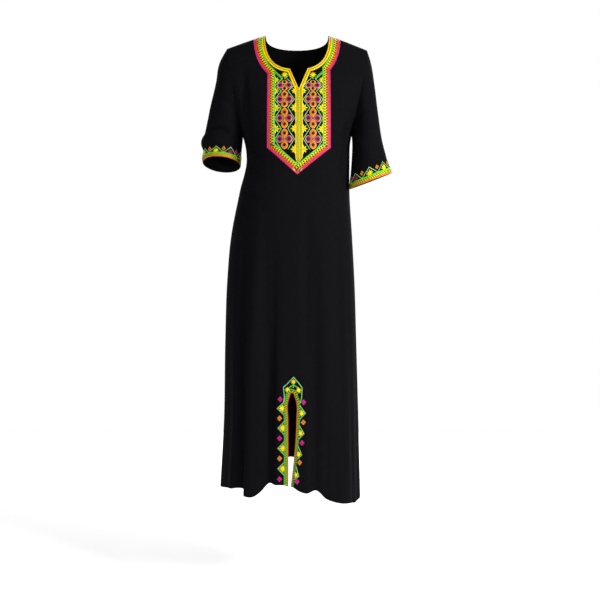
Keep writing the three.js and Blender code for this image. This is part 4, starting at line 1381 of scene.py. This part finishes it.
# The cuffs: a braided edge under a row of triangles
cuffs = {
    "sleeve_left": {"repeats": 8, "phase": 4.5, "tall": 1.0, "pinkAt": 3, "flat": (0.37, 0.016)},
    "sleeve_right": {"repeats": 8, "phase": 25.0, "tall": 0.8, "pinkAt": 2, "flat": (0.33, 0.013)},
}
cuff = {"braid": 15.8, "peak": 36.5, "lineWidth": 1.7, "overlap": 1, "starUp": 20.5, "starRadius": 10.0,
        "diamondUp": 29.0, "diamondSize": 12.5, "pinkEvery": 4,
        "dotPitch": 6.0, "dotSize": 3.0, "dotHeight": 0.45, "dotRows": ((6.0, 0.25), (9.8, 0.75)),
        "steps": 144, "edge": 0.1, "groundColumns": 6}
cuffStripes = table(
    ("thread", "low", "high"),
    ("diamondOrange", 0.2, 4.4),
    ("yellow", 4.4, 9.8),
    ("lime", 9.8, 12.6),
    ("green", 12.6, 15.8),
)


def layCuff(name):
    chart = sleeveChart(name)
    facing = sleeves[name]["side"]
    radius = (np.linalg.norm(sleeves[name]["toOuter"]) + np.linalg.norm(sleeves[name]["toFront"])) / 2
    perMm = math.degrees(1 / radius)
    scale = np.array([perMm, 1.0])
    tall = cuffs[name]["tall"]
    around = np.linspace(0, 360, cuff["steps"] + 1)
    work = newWork()

    def cuffLine(up):
        return np.stack([around, up * tall + 0 * around], axis=-1)

    for stripe in cuffStripes:
        low = cuffLine(stripe["low"])
        high = cuffLine(stripe["high"])
        if facing > 0:
            low, high = high, low
        layBetween(work, chart, stripe["thread"], low, high)
    for up, phase in cuff["dotRows"]:
        layDots(work, chart, "black", cuffLine(up), cuff["dotPitch"], cuff["dotSize"], phase,
                cuff["dotHeight"], raised, scale)
    step = 360 / cuffs[name]["repeats"]
    for k in range(cuffs[name]["repeats"]):
        middle = cuffs[name]["phase"] + step * k
        base = (cuff["braid"] - cuff["overlap"]) * tall
        triangle = [(middle - step / 2, base), (middle, cuff["peak"] * tall), (middle + step / 2, base)]
        layLine(work, chart, "paleGreen", triangle, cuff["lineWidth"], scale)
        pink = k % cuff["pinkEvery"] == cuffs[name]["pinkAt"]
        layStar(work, chart, "petalPink" if pink else "yellow", (middle / perMm, cuff["starUp"] * tall),
                cuff["starRadius"] * tall, scale)
        layDiamond(work, chart, "magenta" if pink else "diamondOrange", "darkRed",
                   ((middle + step / 2) / perMm, cuff["diamondUp"] * tall), cuff["diamondSize"], scale)
    pieceName = name.replace("sleeve", "cuff")
    finishWork(pieceName + "_embroidery", work)
    ring = groundCloth(chart, cuffLine(cuff["braid"]), cuffLine(cuff["edge"]), cuff["groundColumns"],
                       facing < 0)
    piece = joinGrounds(pieceName + "_ground", name.replace("sleeve", "cuff_braid"), [ring])


for name in sleeves:
    layCuff(name)
print("cuffs embroidered")

# Floor, light and camera
room = {"floor": -1.46, "floorSide": 7.0, "floorFront": -6.0, "floorBack": 2.9,
        "paper": "#F8F8F8", "paperRoughness": 0.9, "paperSpecular": 0.1,
        "behind": 1.0, "front": 0.24, "turnsFrom": 0.05, "turnsTo": 0.8}
# bright thread on black cloth against white paper needs the plain view, which keeps strong colours strong
bpy.context.scene.view_settings.view_transform = "Standard"
floorMesh = bpy.data.meshes.new("studio floor")
side = room["floorSide"]
corners = [(-side, room["floorFront"]), (side, room["floorFront"]),
           (side, room["floorBack"]), (-side, room["floorBack"])]
floorMesh.from_pydata([(x, y, room["floor"]) for x, y in corners], [], [(0, 1, 2, 3)])
paper, _, paperShader = newMaterial("pale studio paper", {
    "Roughness": room["paperRoughness"], "Specular IOR Level": room["paperSpecular"],
})
paperShader.inputs["Base Color"].default_value = linearColour(room["paper"])
floorMesh.materials.append(paper)
floor = bpy.data.objects.new("studio_floor", floorMesh)
bpy.context.scene.collection.objects.link(floor)

# the surroundings are bright behind the dress and dim in front, so that the folds keep their shade
world = bpy.data.worlds.new("studio")
bpy.context.scene.world = world
world.use_nodes = True
skyTree = world.node_tree
direction = addNode(skyTree, "ShaderNodeTexCoord").outputs["Generated"]
axes = addNode(skyTree, "ShaderNodeSeparateXYZ", {}, {"Vector": direction})
glow = addNode(skyTree, "ShaderNodeMapRange", {"interpolation_type": "SMOOTHSTEP"}, {
    "Value": axes.outputs["Y"], "From Min": room["turnsFrom"], "From Max": room["turnsTo"],
    "To Min": room["front"], "To Max": room["behind"],
})
skyTree.links.new(glow.outputs["Result"], skyTree.nodes["Background"].inputs["Strength"])
skyTree.nodes["Background"].inputs["Color"].default_value = (1, 1, 1, 1)

softboxes = (
    {"name": "key", "place": (2.2, -1.9, 0.5), "size": 0.8, "watts": 104, "aim": (0, 0, -0.55)},
    {"name": "fill", "place": (-1.2, -2.9, 0.0), "size": 1.2, "watts": 25, "aim": (0, 0, -0.55)},
    {"name": "rim", "place": (1.4, 2.6, 0.3), "size": 1.2, "watts": 24, "aim": (0, 0, -0.75)},
    {"name": "floor light", "place": (0, 2.9, 1.6), "size": 2.6, "watts": 110,
     "aim": (0, 2.7, room["floor"])},
)
for box in softboxes:
    light = bpy.data.lights.new(box["name"], "AREA")
    light.size = box["size"]
    light.energy = box["watts"]
    lamp = bpy.data.objects.new(box["name"], light)
    lamp.location = box["place"]
    bpy.context.scene.collection.objects.link(lamp)
    way = np.array(box["aim"]) - np.array(box["place"])
    lamp.rotation_euler = (math.atan2(math.hypot(way[0], way[1]), -way[2]), 0,
                           math.atan2(way[1], way[0]) - math.pi / 2)

view = {"place": (0.0081, -2.5, -0.6885), "lens": 55.56, "sensor": 36}
cameraData = bpy.data.cameras.new("camera")
cameraData.lens = view["lens"]
cameraData.sensor_width = view["sensor"]
camera = bpy.data.objects.new("camera", cameraData)
camera.location = view["place"]
camera.rotation_euler = (math.pi / 2, 0, 0)
bpy.context.scene.collection.objects.link(camera)
bpy.context.scene.camera = camera
print("studio set")
